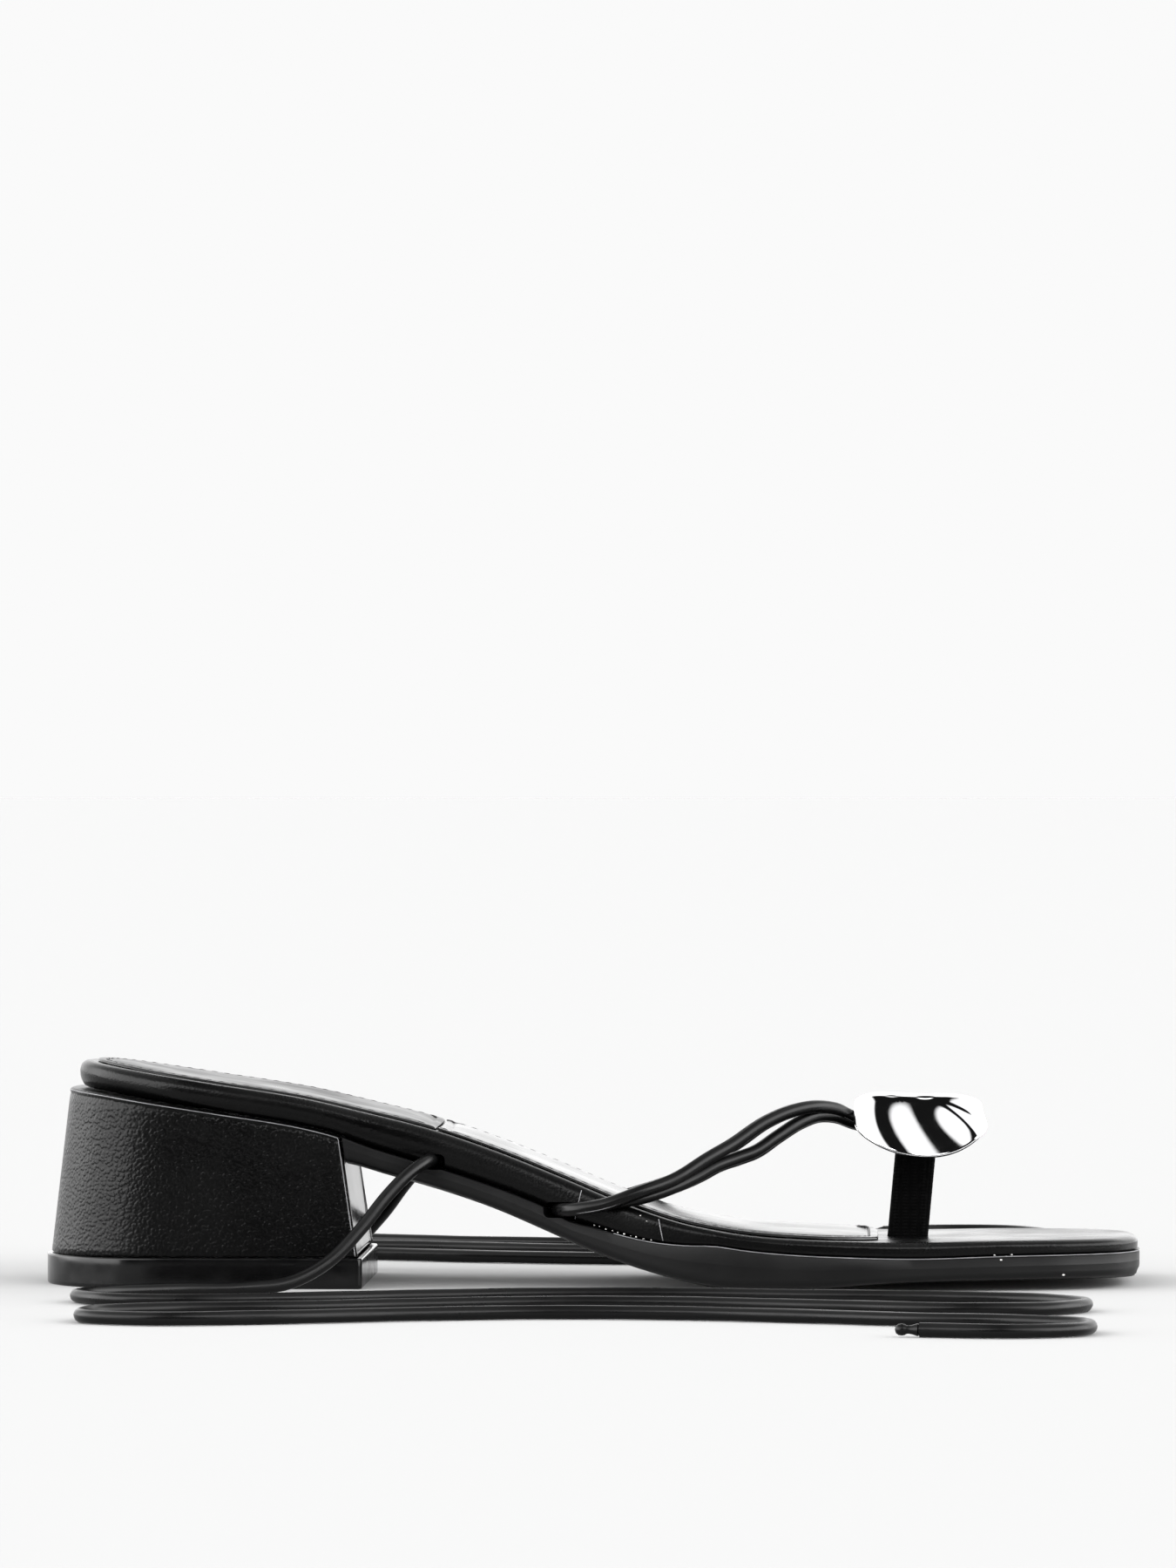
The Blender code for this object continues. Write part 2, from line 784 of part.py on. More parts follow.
def make_top_piece(shoe):
    """The hard cap under the heel, a little proud of the cover."""
    back, front = heel_base_x()
    back -= TOP_PIECE_PROUD
    front += TOP_PIECE_PROUD
    width = HEEL_BASE_WIDTH + 2 * TOP_PIECE_PROUD
    levels = []
    rows = table("inset height", (
        (1.0, 1.0),
        (0.0, 1.0 - TOP_PIECE_ROUND / TOP_PIECE_HEIGHT),
        (0.0, TOP_PIECE_ROUND / TOP_PIECE_HEIGHT),
        (1.0, 0.0),
    ))
    for row in rows:
        outline = heel_outline(back, front, width, row["inset"] * TOP_PIECE_ROUND)
        height = row["height"] * TOP_PIECE_HEIGHT
        levels.append((outline, lambda x, y, height=height: height))
    return stacked_rings("heel_top_piece", levels, levels[0][1], levels[-1][1], shoe)


def sock_slab(name, collection):
    """A thin sheet over the whole footbed, inside its rim."""
    edge = inset_foot(SOCK_MARGIN)
    face = inset_foot(SOCK_MARGIN + SOCK_THICKNESS / 2)
    levels = [(face, sock_top), (edge, between(sock_top, sock_under, SOCK_EDGE_SHARE)), (edge, sock_under)]
    return stacked_rings(name, levels, sock_top, sock_under, collection, across=8)


def make_socks(shoe, tools):
    """The heel sock and the front sock lining, which meet at a cross seam."""
    seam = place_along(SOCK_SEAM_ALONG)
    end = place_along(SOCK_END_ALONG)
    tall = 4 * SEAT_HEIGHT
    wide = 2 * BALL_WIDTH
    reach = seam - 2 * SOLE_BACK_X
    front_place = Matrix.Translation((seam + reach / 2 - CLEARANCE / 2, 0, 0))
    front_room = add_block("front_room", (reach, wide, tall), front_place, tools)
    heel_sock = sock_slab("heel_sock", shoe)
    add_boolean(heel_sock, as_cutter(front_room))

    long = end - seam - CLEARANCE / 2
    mesh = bmesh.new()
    bmesh.ops.create_cube(mesh, size=1.0)
    middle = (lateral_share(SOCK_END_ALONG) + medial_share(SOCK_END_ALONG)) * BALL_WIDTH / 2
    width = (medial_share(SOCK_END_ALONG) - lateral_share(SOCK_END_ALONG)) * BALL_WIDTH
    bmesh.ops.scale(mesh, vec=(long, wide, tall), verts=mesh.verts)
    front = [vert for vert in mesh.verts if vert.co.x > 0]
    for vert in front:
        vert.co.y = math.copysign(width / 2 - SOCK_END_NARROWING, vert.co.y) + middle
    upright = [edge for edge in mesh.edges if edge.calc_length() > tall * 0.99 and edge.verts[0] in front]
    bmesh.ops.bevel(mesh, geom=upright, offset=SOCK_END_ROUND, segments=6, profile=0.5, affect="EDGES")
    lining_room = make_object("lining_room", mesh, tools)
    lining_room.location = (seam + CLEARANCE / 2 + long / 2, 0, 0)
    sock_lining = sock_slab("sock_lining", shoe)
    add_boolean(sock_lining, as_cutter(lining_room), "INTERSECT")
    return heel_sock, sock_lining


def slit_matrix(along, side):
    """Frame at the sole's edge: X along the edge, Y across it, Z up."""
    edge = lateral_share if side < 0 else medial_share
    step = 0.01
    here = Vector((place_along(along), edge(along) * BALL_WIDTH, 0))
    ahead = Vector((place_along(along + step), edge(along + step) * BALL_WIDTH, 0))
    turn = math.atan2(ahead.y - here.y, ahead.x - here.x)
    here.z = slit_height(along, side)
    return Matrix.Translation(here) @ Matrix.Rotation(turn, 4, "Z")


def slit_height(along, side):
    """Height of a slit's middle: where the footbed meets the outsole."""
    edge = lateral_share if side < 0 else medial_share
    return footbed_under(place_along(along), edge(along) * BALL_WIDTH) + CORD_RADIUS / 2


def cut_slits(footbed, outsole, tools):
    """The pockets in the sole's side where straps and ties go in."""
    slits = table("name along length", (
        ("strap_slit", SLIT_ALONG, SLIT_LENGTH),
        ("tie_slit", TIE_SLIT_ALONG, TIE_SLIT_LENGTH),
    ))
    for row in slits:
        for side_name, side in (("lateral", -1), ("medial", 1)):
            cutter = add_block(
                row["name"] + "_" + side_name,
                (row["length"], 2 * SLIT_DEPTH, SLIT_HEIGHT),
                slit_matrix(row["along"], side),
                tools,
            )
            as_cutter(cutter)
            add_boolean(footbed, cutter)
            add_boolean(outsole, cutter)


def strap_path(rows, side):
    """Smooth path of one cord of a toe strap on one side."""
    start = place_along(SLIT_ALONG)
    reach = place_along(STRAP_END_ALONG) - start
    base = slit_height(SLIT_ALONG, side)
    column = "lateral" if side < 0 else "medial"
    points = []
    for row in rows:
        drop = medial_drop(row["along"]) * CORD_DIAMETER if side > 0 else 0.0
        points.append(Vector((
            start + row["along"] * reach,
            row[column] * BALL_WIDTH / 2,
            base + row["rise"] * (STRAP_CREST - base) - drop,
        )))
    return resample(smooth_path(points, 6), 2 * len(rows))


def make_straps(shoe, tools):
    """The upper: four round cords and the knot that joins them over the post."""
    centre = post_top_centre()
    knot_middle = Vector((centre.x, centre.y, post_top() + CLEARANCE + KNOT_HEIGHT / 2))
    straps = add_block(
        "toe_straps", (KNOT_LENGTH, KNOT_WIDTH, KNOT_HEIGHT), Matrix.Translation(knot_middle), shoe,
        bevel=KNOT_WIDTH / 5)
    for side_name, side in (("lateral", -1), ("medial", 1)):
        for row_name, rows in (("over", OVER_CORD), ("under", UNDER_CORD)):
            cord = tube_mesh(
                "strap_" + row_name + "_" + side_name, strap_path(rows, side), CORD_DIAMETER, tools)
            add_boolean(straps, as_cutter(cord), "UNION")
    return straps


def post_top():
    """Height of the post's top, under the knot."""
    return DISC_TOP - DISC_THICKNESS - KNOT_HEADROOM - KNOT_HEIGHT - CLEARANCE


def post_foot():
    return outsole_top(place_along(POST_ALONG), POST_OFFSET) + CLEARANCE


def post_top_centre():
    return Vector((place_along(POST_ALONG) + POST_LEAN, POST_OFFSET, post_top()))


def post_outline(width, thickness):
    """Flat oval section of the post."""
    power = 2 / POST_POWER
    count = 20
    outline = []
    for i in range(count):
        angle = 2 * math.pi * i / count + math.pi
        x = math.copysign(abs(math.cos(angle)) ** power, math.cos(angle)) * width / 2
        y = math.copysign(abs(math.sin(angle)) ** power, math.sin(angle)) * thickness / 2
        outline.append(Vector((x, y)))
    return outline


def post_solid(name, grow, low, high, collection):
    """The post, or the slot it stands in when grown by a clearance."""
    section = post_outline(POST_WIDTH + 2 * grow, POST_THICKNESS + 2 * grow)
    foot = Vector((place_along(POST_ALONG), POST_OFFSET))
    levels = []
    steps = 6
    for i in range(steps + 1):
        height = high + (low - high) * i / steps
        lean = POST_LEAN * (height - post_foot()) / (post_top() - post_foot())
        outline = [point + foot + Vector((lean, 0)) for point in section]
        levels.append((outline, lambda x, y, height=height: height))
    return stacked_rings(name, levels, levels[0][1], levels[-1][1], collection, across=2)


def make_post(footbed, shoe, tools):
    """The textile post and its slot through the footbed."""
    post = post_solid("toe_post", 0.0, post_foot(), post_top(), shoe)
    low = post_foot() - POST_SLOT_OVERRUN
    high = BALL_HEIGHT + POST_SLOT_OVERRUN
    slot = post_solid("post_slot", CLEARANCE, low, high, tools)
    add_boolean(footbed, as_cutter(slot))
    return post


def disc_rim():
    """The ornament's plan outline in shares of its half length and half width."""
    quarter = []
    fine = 200
    for i in range(fine + 1):
        turn = math.pi / 2 * (i / fine) ** 3
        v = math.sin(turn) ** (2 / DISC_POWER)
        bulge = DISC_WAIST + (DISC_BULGE - DISC_WAIST) * ramp(v, 0.25, 0.80)
        quarter.append((math.cos(turn) * bulge, v))
    loop = [Vector((u, v)) for u, v in quarter]
    loop += [Vector((-u, v)) for u, v in quarter[-2::-1]]
    loop += [Vector((-u, -v)) for u, v in quarter[1:]]
    loop += [Vector((u, -v)) for u, v in quarter[-2::-1]]
    return resample(loop, DISC_SPOKES)[:-1]


def wave_height(u, v):
    """Height of the ornament's waves: the sum of slopes that turn at each ridge and valley."""
    v = abs(v)
    low, high = -1.15, 1.15
    steps = 92
    width = (high - low) / steps
    run = total = here = 0.0
    for i in range(steps):
        place = low + (i + 0.5) * width
        slope = 1.0
        for row in WAVES:
            if v < 0.8:
                part = max(v - 0.5, 0.0) / 0.3
                centre = row["high"] * (1 - part) + row["middle"] * part
                wide = row["wide_high"] * (1 - part) + row["wide_middle"] * part
            else:
                part = (v - 0.8) / 0.2
                centre = row["middle"] * (1 - part) + row["low"] * part
                wide = row["wide_middle"] * (1 - part) + row["wide_low"] * part
            slope *= math.tanh((place - centre) / wide)
        run += slope * width
        total += run * width
        if place <= u:
            here = run
    fade = WAVE_CREST_SHARE + (1 - WAVE_CREST_SHARE) * ramp(v, 0.15, 0.60)
    return (here - total / (high - low)) * WAVE_SLOPE * DISC_LENGTH / 2 * fade


def disc_base(u, v):
    """A point of the ornament's dome, which falls to both sides."""
    centre = post_top_centre()
    height = DISC_TOP - DISC_FALL_ALONG * abs(u) ** DISC_FALL_POWER - DISC_FALL_ACROSS * abs(v) ** 2.6
    lean = DISC_LEAN * abs(v) ** 3
    x = centre.x + DISC_FORWARD + (u + lean) * DISC_LENGTH / 2
    y = centre.y + v * DISC_WIDTH / 2
    return Vector((x, y, height))


def disc_point(u, v):
    """A point of the ornament's waved face."""
    step = 0.002
    along = disc_base(u + step, v) - disc_base(u - step, v)
    across = disc_base(u, v + step) - disc_base(u, v - step)
    return disc_base(u, v) + along.cross(across).normalized() * wave_height(u, v)


def make_disc(shoe):
    """The wavy metal disc, a thin shell with a pebble's outline."""
    mesh = bmesh.new()
    rim = disc_rim()
    middle = mesh.verts.new(disc_point(0.0, 0.0))
    rings = []
    for j in range(1, DISC_RINGS + 1):
        share = 1 - (1 - j / DISC_RINGS) ** 1.25
        rings.append([mesh.verts.new(disc_point(spot.x * share, spot.y * share)) for spot in rim])
    for inner, outer in zip(rings, rings[1:]):
        bridge(mesh, outer, inner)
    for i in range(DISC_SPOKES):
        mesh.faces.new((middle, rings[0][i], rings[0][(i + 1) % DISC_SPOKES]))
    disc = make_object("ornament_disc", mesh, shoe)
    shell = disc.modifiers.new("Wall", "SOLIDIFY")
    shell.thickness = DISC_THICKNESS
    shell.offset = -1.0 if disc.data.polygons[0].normal.z > 0 else 1.0
    return disc


def make_tie(name, route, collection):
    """One free ankle tie and the metal tip on its end."""
    points = [Vector(point) * MM for point in route]
    path = smooth_path(points, 8)
    tie = add_tube(name, resample(path, TIE_POINTS), TIE_DIAMETER, collection)
    end = path[-1]
    heading = (path[-1] - path[-2]).normalized()
    turn = heading.to_track_quat("Z", "Y").to_matrix().to_4x4()
    middle = end + heading * (CLEARANCE + TIP_LENGTH / 2)
    mesh = bmesh.new()
    bmesh.ops.create_cone(
        mesh, cap_ends=True, segments=12, radius1=TIP_DIAMETER / 2, radius2=TIP_TAPER * TIP_DIAMETER / 2,
        depth=TIP_LENGTH)
    tip = make_object(name.replace("tie", "tie_tip"), mesh, collection)
    tip.matrix_world = Matrix.Translation(middle) @ turn
    return tie, tip


def build():
    for thing in list(bpy.data.objects):
        bpy.data.objects.remove(thing)
    shoe = bpy.data.collections.new("Sandal")
    tools = bpy.data.collections.new("Cutters")
    bpy.context.scene.collection.children.link(shoe)
    bpy.context.scene.collection.children.link(tools)

    leather = material("Smooth leather", (0.012, 0.012, 0.013), 0.38)
    heel_leather = material("Grained leather", (0.012, 0.012, 0.013), 0.42)
    rubber = material("Moulded sole", (0.014, 0.014, 0.015), 0.45)
    plastic = material("Glossy plastic", (0.008, 0.008, 0.008), 0.2)
    textile = material("Ribbed textile", (0.010, 0.010, 0.010), 0.85)
    metal = material("Polished metal", (0.90, 0.90, 0.91), 0.06, 1.0)

    footbed = make_footbed(shoe)
    outsole = make_outsole(shoe, tools)
    cut_slits(footbed, outsole, tools)
    heel_sock, sock_lining = make_socks(shoe, tools)
    finish(make_post(footbed, shoe, tools), textile)
    finish(footbed, leather)
    finish(outsole, rubber)
    finish(heel_sock, leather)
    finish(sock_lining, leather)
    finish(make_heel(shoe), heel_leather)
    finish(make_top_piece(shoe), plastic)
    finish(make_straps(shoe, tools), leather)
    finish(make_disc(shoe), metal)
    for name, route in (("tie_lateral", TIE_ROUTE_LATERAL), ("tie_medial", TIE_ROUTE_MEDIAL)):
        tie, tip = make_tie(name, route, shoe)
        finish(tie, leather)
        finish(tip, metal)


build()
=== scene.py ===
"""Looks of the block heel thong sandal: finer surfaces, leather, cord, textile and metal.

Metres, +Z up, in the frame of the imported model. The sizes are those of the part's source, with
finer ones beside them.
"""
import math

import bmesh
import bpy
import numpy as np
from mathutils import Matrix, Vector


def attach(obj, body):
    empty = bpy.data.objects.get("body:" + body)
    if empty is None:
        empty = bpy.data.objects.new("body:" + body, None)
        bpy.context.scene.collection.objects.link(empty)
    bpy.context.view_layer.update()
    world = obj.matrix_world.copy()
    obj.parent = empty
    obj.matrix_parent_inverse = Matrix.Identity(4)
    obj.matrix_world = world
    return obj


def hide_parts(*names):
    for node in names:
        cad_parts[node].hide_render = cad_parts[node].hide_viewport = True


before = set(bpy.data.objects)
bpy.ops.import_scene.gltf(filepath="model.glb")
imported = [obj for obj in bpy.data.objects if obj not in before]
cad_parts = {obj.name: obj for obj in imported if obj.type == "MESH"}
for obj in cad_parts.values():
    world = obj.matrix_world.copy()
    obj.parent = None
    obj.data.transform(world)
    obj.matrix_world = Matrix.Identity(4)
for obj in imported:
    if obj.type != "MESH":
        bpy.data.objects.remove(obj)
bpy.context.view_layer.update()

MM = 0.001

# Overall sizes of the last and the sole
SOLE_LENGTH = 245.0 * MM
HEEL_SWEEP = 7.0 * MM
BALL_WIDTH = 79.0 * MM
SEAT_HEIGHT = 51.8 * MM
BALL_HEIGHT = 11.4 * MM
TOE_SPRING = 2.0 * MM
CLEARANCE = 0.3 * MM

# Footbed and outsole
FOOTBED_THICKNESS = 8.1 * MM
FOOTBED_EDGE_ROUND = 3.2 * MM
FOREFOOT_ROLL = 1.3 * MM
FOOTBED_DISH = 1.2 * MM
OUTSOLE_STEP = 0.4 * MM
RIM_TIGHTNESS = 0.80
OUTSOLE_EDGE_ROUND = 1.6 * MM
CROWN_LATERAL = 1.3 * MM
CROWN_MEDIAL = 0.4 * MM
CROWN_FLAT = 0.5

# Heel and its top piece
HEEL_TOP_LENGTH = 64.1 * MM
HEEL_TOP_SET_IN = -1.6 * MM
HEEL_TOP_WIDTH = 53.0 * MM
HEEL_BASE_LENGTH = 72.5 * MM
HEEL_BASE_WIDTH = 56.6 * MM
HEEL_CORNER_ROUND = 1.2 * MM
HEEL_BACK_POWER = 2.3
HEEL_BACK_SHARE = 0.6
HEEL_CENTRE_ALONG = 0.14
TOP_PIECE_HEIGHT = 7.0 * MM
TOP_PIECE_PROUD = 1.0 * MM

# Fold at the heel's front corners: bead, groove's three places behind the face, ends of bead and face
HEEL_BEAD = 0.16 * MM
HEEL_GROOVE = (2.6 * MM, 2.2 * MM, 1.8 * MM)
HEEL_BEAD_END = 0.7 * MM
HEEL_FACE_EDGE = 1.0 * MM
BREAST_FACING = 0.9

# Socks
SOCK_MARGIN = 4.6 * MM
SOCK_SEAM_ALONG = 0.343
SOCK_END_ALONG = 0.755
SOCK_END_ROUND = 14.0 * MM
SOCK_END_NARROWING = 3.6 * MM
STITCH_INSET = 2.1 * MM
STITCH_PITCH = 2.9 * MM
STITCH_LENGTH = 2.1 * MM
STITCH_WIDTH = 0.55 * MM
STITCH_RISE = 0.4
STITCH_LEAN = 4
MERGE_DISTANCE = 0.02 * MM
HEEL_SOCK_GRID = (90, 70)
LINING_GRID = (120, 90)
HEEL_STITCH_POINTS = 160
LINING_STITCH_POINTS = 260

# Straps, post and ornament
CORD_DIAMETER = 3.0 * MM
SLIT_ALONG = 0.457
SLIT_LENGTH = 10.5 * MM
SLIT_HEIGHT = 4.4 * MM
SLIT_DEPTH = 6.0 * MM
SLIT_SHORTER = 2.4 * MM
SLIT_LOWER = 0.8 * MM
SLIT_SHIFT = 0.9 * MM
SLIT_ROUND = 1.3 * MM
STRAP_END_ALONG = 0.778
STRAP_CREST = 40.9 * MM
STRAP_POINTS = 180
STRAP_TWIST = 18.0
STRAP_GROOVE = 0.10 * MM
STRAP_SEAM_SIDE = (0, -0.80, -0.60)
STRAP_SEAM_SINK = 0.03 * MM
STRAP_SEAM_RADIUS = 0.07 * MM
STRAP_SEAM_START = 14
STRAP_SEAM_END = 172
POST_ALONG = 0.7818
POST_OFFSET = 6.0 * MM
POST_WIDTH = 9.4 * MM
POST_THICKNESS = 4.5 * MM
POST_LEAN = 2.4 * MM
POST_POWER = 3.6
POST_RIB_DEPTH = 0.10 * MM
POST_RIB_PITCH = 0.94 * MM
POST_RIB_SPREAD = 0.47
POST_SLOT_OVERRUN = 4.0 * MM
POST_SLOT_ROOM = 0.1 * MM
KNOT_LENGTH = 12.0 * MM
KNOT_WIDTH = 8.6 * MM
KNOT_HEIGHT = 8.0 * MM
KNOT_HEADROOM = 1.0 * MM
KNOT_CORE = (KNOT_LENGTH - 1.0 * MM, KNOT_WIDTH - 2.6 * MM, KNOT_HEIGHT - 2.6 * MM)
KNOT_CORE_ROUND = 2.0 * MM
KNOT_WRAP_PITCH = 3.1 * MM
KNOT_WRAP_RADIUS = 1.4 * MM
KNOT_WRAP_SET_IN = 1.45 * MM
KNOT_WRAP_POWER = 0.7
KNOT_WRAP_LEAN = 0.5 * MM
DISC_LENGTH = 32.2 * MM
DISC_WIDTH = 30.0 * MM
DISC_TOP = 43.2 * MM
DISC_THICKNESS = 1.0 * MM
DISC_FALL_ALONG = 3.0 * MM
DISC_FALL_POWER = 8.0
DISC_FALL_ACROSS = 13.4 * MM
DISC_ACROSS_POWER = 2.6
DISC_FORWARD = 0.6 * MM
DISC_POWER = 6.4
DISC_LEAN = 0.06
DISC_WAIST = 0.91
DISC_BULGE = 0.98
DISC_SPOKES = 320
DISC_RINGS = 70
DISC_RING_POWER = 1.25

# Ankle ties
TIE_DIAMETER = 3.0 * MM
TIE_SLIT_ALONG = 0.339
TIE_SLIT_LENGTH = 7.0 * MM
TIP_DIAMETER = 2.6 * MM
TIP_LENGTH = 5.0 * MM
TIE_TWIST = 9.0
TIE_GROOVE = 0.08 * MM
TIE_LIE = 1.6

# How a cord's thickness varies: share of its radius, length along it and start
CORD_SWELLS = (
    (0.012, 3.7 * MM, 0),
    (0.010, 9.1 * MM, 1),
)

# Domed end of a cord: steps towards its tip and how far it stands out, as a share of the radius
DOME_STEPS = (0.35, 0.65, 0.9)
DOME_RISE = 0.5

# Thin lines: pale hairlines that paint the highlights along the heel cover's top edge and front corners and
# along the sole's top edge, seams of the wrap, thread knot
HEEL_LINE_OUT = 0.12 * MM
HEEL_LINE_DROP = 0.5 * MM
HEEL_LINE_FOOT = 0.6 * MM
SOLE_LINE_OUT = 0.02 * MM
SOLE_LINE_START = 0.515
EDGE_LINE_RADIUS = 0.10 * MM
WRAP_SEAM_RADIUS = 0.09 * MM
WRAP_SEAM_STEPS = 14
WRAP_SEAM_START = 0.12
WRAP_SEAM_REACH = 0.80
SPECK_STRETCH = (1.6, 0.6)
SPECK_FALL = 5 * MM
THREAD_KNOT_ALONG = 0.738
THREAD_KNOT_ACROSS = 20.5 * MM
THREAD_KNOT_LOOP = 0.8 * MM
THREAD_KNOT_DRIFT = 0.4 * MM
THREAD_KNOT_RADIUS = 0.16 * MM
THREAD_KNOT_POINTS = 60
THREAD_KNOT_TURN = 20
THREAD_KNOT_RISE = 0.9
THREAD_KNOT_WAVE = 0.25

# Camera, from the photograph's perspective
CAMERA_PLACE = (0.060, -1.749, 0.115)
CAMERA_TARGET = (-0.001, 0.0, 0.115)
CAMERA_LENS = 173.9
WHITE = 0.956


def table(columns, rows):
    """Returns a list of rows whose values go by the columns' names."""
    names = columns.split()
    return [dict(zip(names, row)) for row in rows]


# Plan outline: shares of the sole's length and of the ball width
OUTLINE = table("along lateral medial", (
    (0.000, 0.008, 0.008),
    (0.012, -0.140, 0.156),
    (0.040, -0.240, 0.258),
    (0.080, -0.304, 0.322),
    (0.140, -0.334, 0.350),
    (0.210, -0.338, 0.350),
    (0.280, -0.334, 0.334),
    (0.350, -0.342, 0.306),
    (0.420, -0.370, 0.286),
    (0.490, -0.420, 0.302),
    (0.560, -0.470, 0.360),
    (0.630, -0.500, 0.432),
    (0.700, -0.492, 0.484),
    (0.765, -0.468, 0.500),
    (0.830, -0.434, 0.492),
    (0.890, -0.396, 0.474),
    (0.940, -0.350, 0.444),
    (0.975, -0.282, 0.388),
    (0.994, -0.170, 0.290),
    (1.000, 0.060, 0.060),
))

# Height of the footbed's top edge: share of the rise from ball to seat
TOP_LINE = table("along rise", (
    (0.000, 1.000),
    (0.052, 0.950),
    (0.133, 0.874),
    (0.215, 0.797),
    (0.276, 0.713),
    (0.338, 0.619),
    (0.399, 0.498),
    (0.460, 0.357),
    (0.522, 0.208),
    (0.583, 0.094),
    (0.644, 0.035),
    (0.706, 0.012),
    (0.787, 0.000),
    (0.880, 0.010),
    (1.000, 0.012),
))

# Height of the outsole's underside: share of the same rise, and of the toe spring
BOTTOM_LINE = table("along rise spring", (
    (0.000, 0.860, 0.00),
    (0.256, 0.696, 0.00),
    (0.298, 0.627, 0.00),
    (0.347, 0.543, 0.00),
    (0.396, 0.444, 0.00),
    (0.444, 0.323, 0.00),
    (0.493, 0.196, 0.00),
    (0.541, 0.097, 0.00),
    (0.590, 0.024, 0.00),
    (0.625, 0.000, 0.00),
    (0.697, 0.000, 0.00),
    (0.738, 0.000, 0.32),
    (0.787, 0.000, 0.65),
    (0.860, 0.000, 0.82),
    (1.000, 0.000, 1.00),
))

# Thickness of the footbed at its edge, and how much it is dished
FOOTBED_STACK = table("along thickness dish", (
    (0.000, 0.80, 0.00),
    (0.040, 0.75, 0.30),
    (0.100, 0.75, 0.85),
    (0.180, 0.75, 1.00),
    (0.240, 0.78, 0.90),
    (0.292, 0.95, 0.70),
    (0.340, 1.01, 0.50),
    (0.440, 0.98, 0.40),
    (0.468, 1.09, 0.40),
    (0.490, 0.98, 0.40),
    (0.540, 0.79, 0.35),
    (0.575, 0.58, 0.30),
    (0.612, 0.40, 0.25),
    (0.700, 0.42, 0.25),
    (0.790, 0.43, 0.25),
    (0.920, 0.40, 0.20),
    (1.000, 0.37, 0.00),
))

# Section of the footbed's rim: share of the edge round, share of the thickness
FOOTBED_RIM = table("inset depth", (
    (1.60, 0.00),
    (0.80, 0.01),
    (0.34, 0.09),
    (0.08, 0.25),
    (0.00, 0.46),
    (0.07, 0.72),
    (0.30, 0.93),
    (0.70, 1.00),
))

# Section of the outsole's side: share of the edge round, share of the thickness
OUTSOLE_SIDE = table("inset depth", (
    (1.90, 0.000),
    (0.30, 0.000),
    (0.10, 0.015),
    (0.00, 0.060),
    (0.00, 0.400),
    (-0.02, 0.430),
    (-0.02, 0.450),
    (0.00, 0.480),
    (0.00, 0.700),
    (0.05, 0.800),
    (0.18, 0.890),
    (0.42, 0.960),
    (0.75, 0.990),
    (1.10, 1.000),
))

# Rise of a sock's top face from its edge inwards, in millimetres
SOCK_EDGE = table("along rise", (
    (0.00, 0.12),
    (0.12, 0.34),
    (0.40, 0.52),
    (1.10, 0.62),
    (1.70, 0.50),
    (2.10, 0.34),
    (2.50, 0.50),
    (3.20, 0.74),
    (5.00, 0.98),
    (9.00, 1.20),
))

# The upper cord of a toe strap: share of the reach, of half the ball width and of the crest
OVER_CORD = table("along lateral medial rise", (
    (0.000, -0.655, 0.440, 0.000),
    (0.010, -0.770, 0.550, 0.000),
    (0.040, -0.858, 0.640, 0.010),
    (0.133, -0.903, 0.665, 0.062),
    (0.236, -0.878, 0.700, 0.185),
    (0.336, -0.785, 0.708, 0.306),
    (0.435, -0.658, 0.670, 0.511),
    (0.501, -0.557, 0.628, 0.636),
    (0.600, -0.413, 0.547, 0.858),
    (0.667, -0.311, 0.489, 0.953),
    (0.736, -0.197, 0.420, 0.996),
    (0.803, -0.072, 0.345, 0.968),
    (0.871, 0.050, 0.276, 0.850),
    (0.927, 0.088, 0.232, 0.805),
    (1.000, 0.112, 0.195, 0.775),
))

# The lower cord of a toe strap, which starts inside the upper one
UNDER_CORD = table("along lateral medial rise", (
    (0.165, -0.880, 0.660, 0.088),
    (0.236, -0.842, 0.666, 0.123),
    (0.318, -0.768, 0.668, 0.203),
    (0.402, -0.663, 0.646, 0.326),
    (0.455, -0.590, 0.620, 0.427),
    (0.515, -0.496, 0.572, 0.498),
    (0.568, -0.425, 0.527, 0.560),
    (0.635, -0.327, 0.471, 0.708),
    (0.702, -0.213, 0.403, 0.846),
    (0.750, -0.129, 0.360, 0.903),
    (0.803, -0.036, 0.306, 0.893),
    (0.860, 0.050, 0.254, 0.820),
    (0.925, 0.103, 0.197, 0.775),
    (1.000, 0.127, 0.177, 0.753),
))

# How much lower the inner strap runs than the outer one: share of the cord diameter
MEDIAL_DROP = table("along drop", (
    (0.00, 0.00),
    (0.12, 0.45),
    (0.24, 0.75),
    (0.45, 0.75),
    (0.65, 0.50),
    (0.85, 0.20),
    (1.00, 0.00),
))

# Ridges and valleys of the ornament in turn: place at the crest, middle and rim, and widths there
WAVES = table("high middle low wide_high wide_middle wide_low", (
    (-0.56, -0.60, -0.30, 0.28, 0.29, 0.20),
    (0.07, 0.08, 0.42, 0.36, 0.27, 0.46),
    (0.27, 0.62, 1.10, 0.04, 0.04, 0.04),
    (0.34, 0.84, 1.20, 0.04, 0.04, 0.04),
    (0.38, 0.94, 1.36, 0.04, 0.04, 0.04),
))
WAVE_SLOPE = 0.12
WAVE_CREST_SHARE = 0.85
WAVE_BEND_START = 0.45
WAVE_GRID_LENGTH = 1.15
WAVE_GRID_DEPTH = 1.05
WAVE_COLUMNS = 461
WAVE_ROWS = 85

# Small dents near the ornament's crest: place along and across, radii in millimetres, depth
DENTS = table("along across length width depth", (
    (-0.40, -0.30, 2.2, 1.2, 0.12),
    (0.08, -0.30, 2.0, 1.0, 0.20),
))

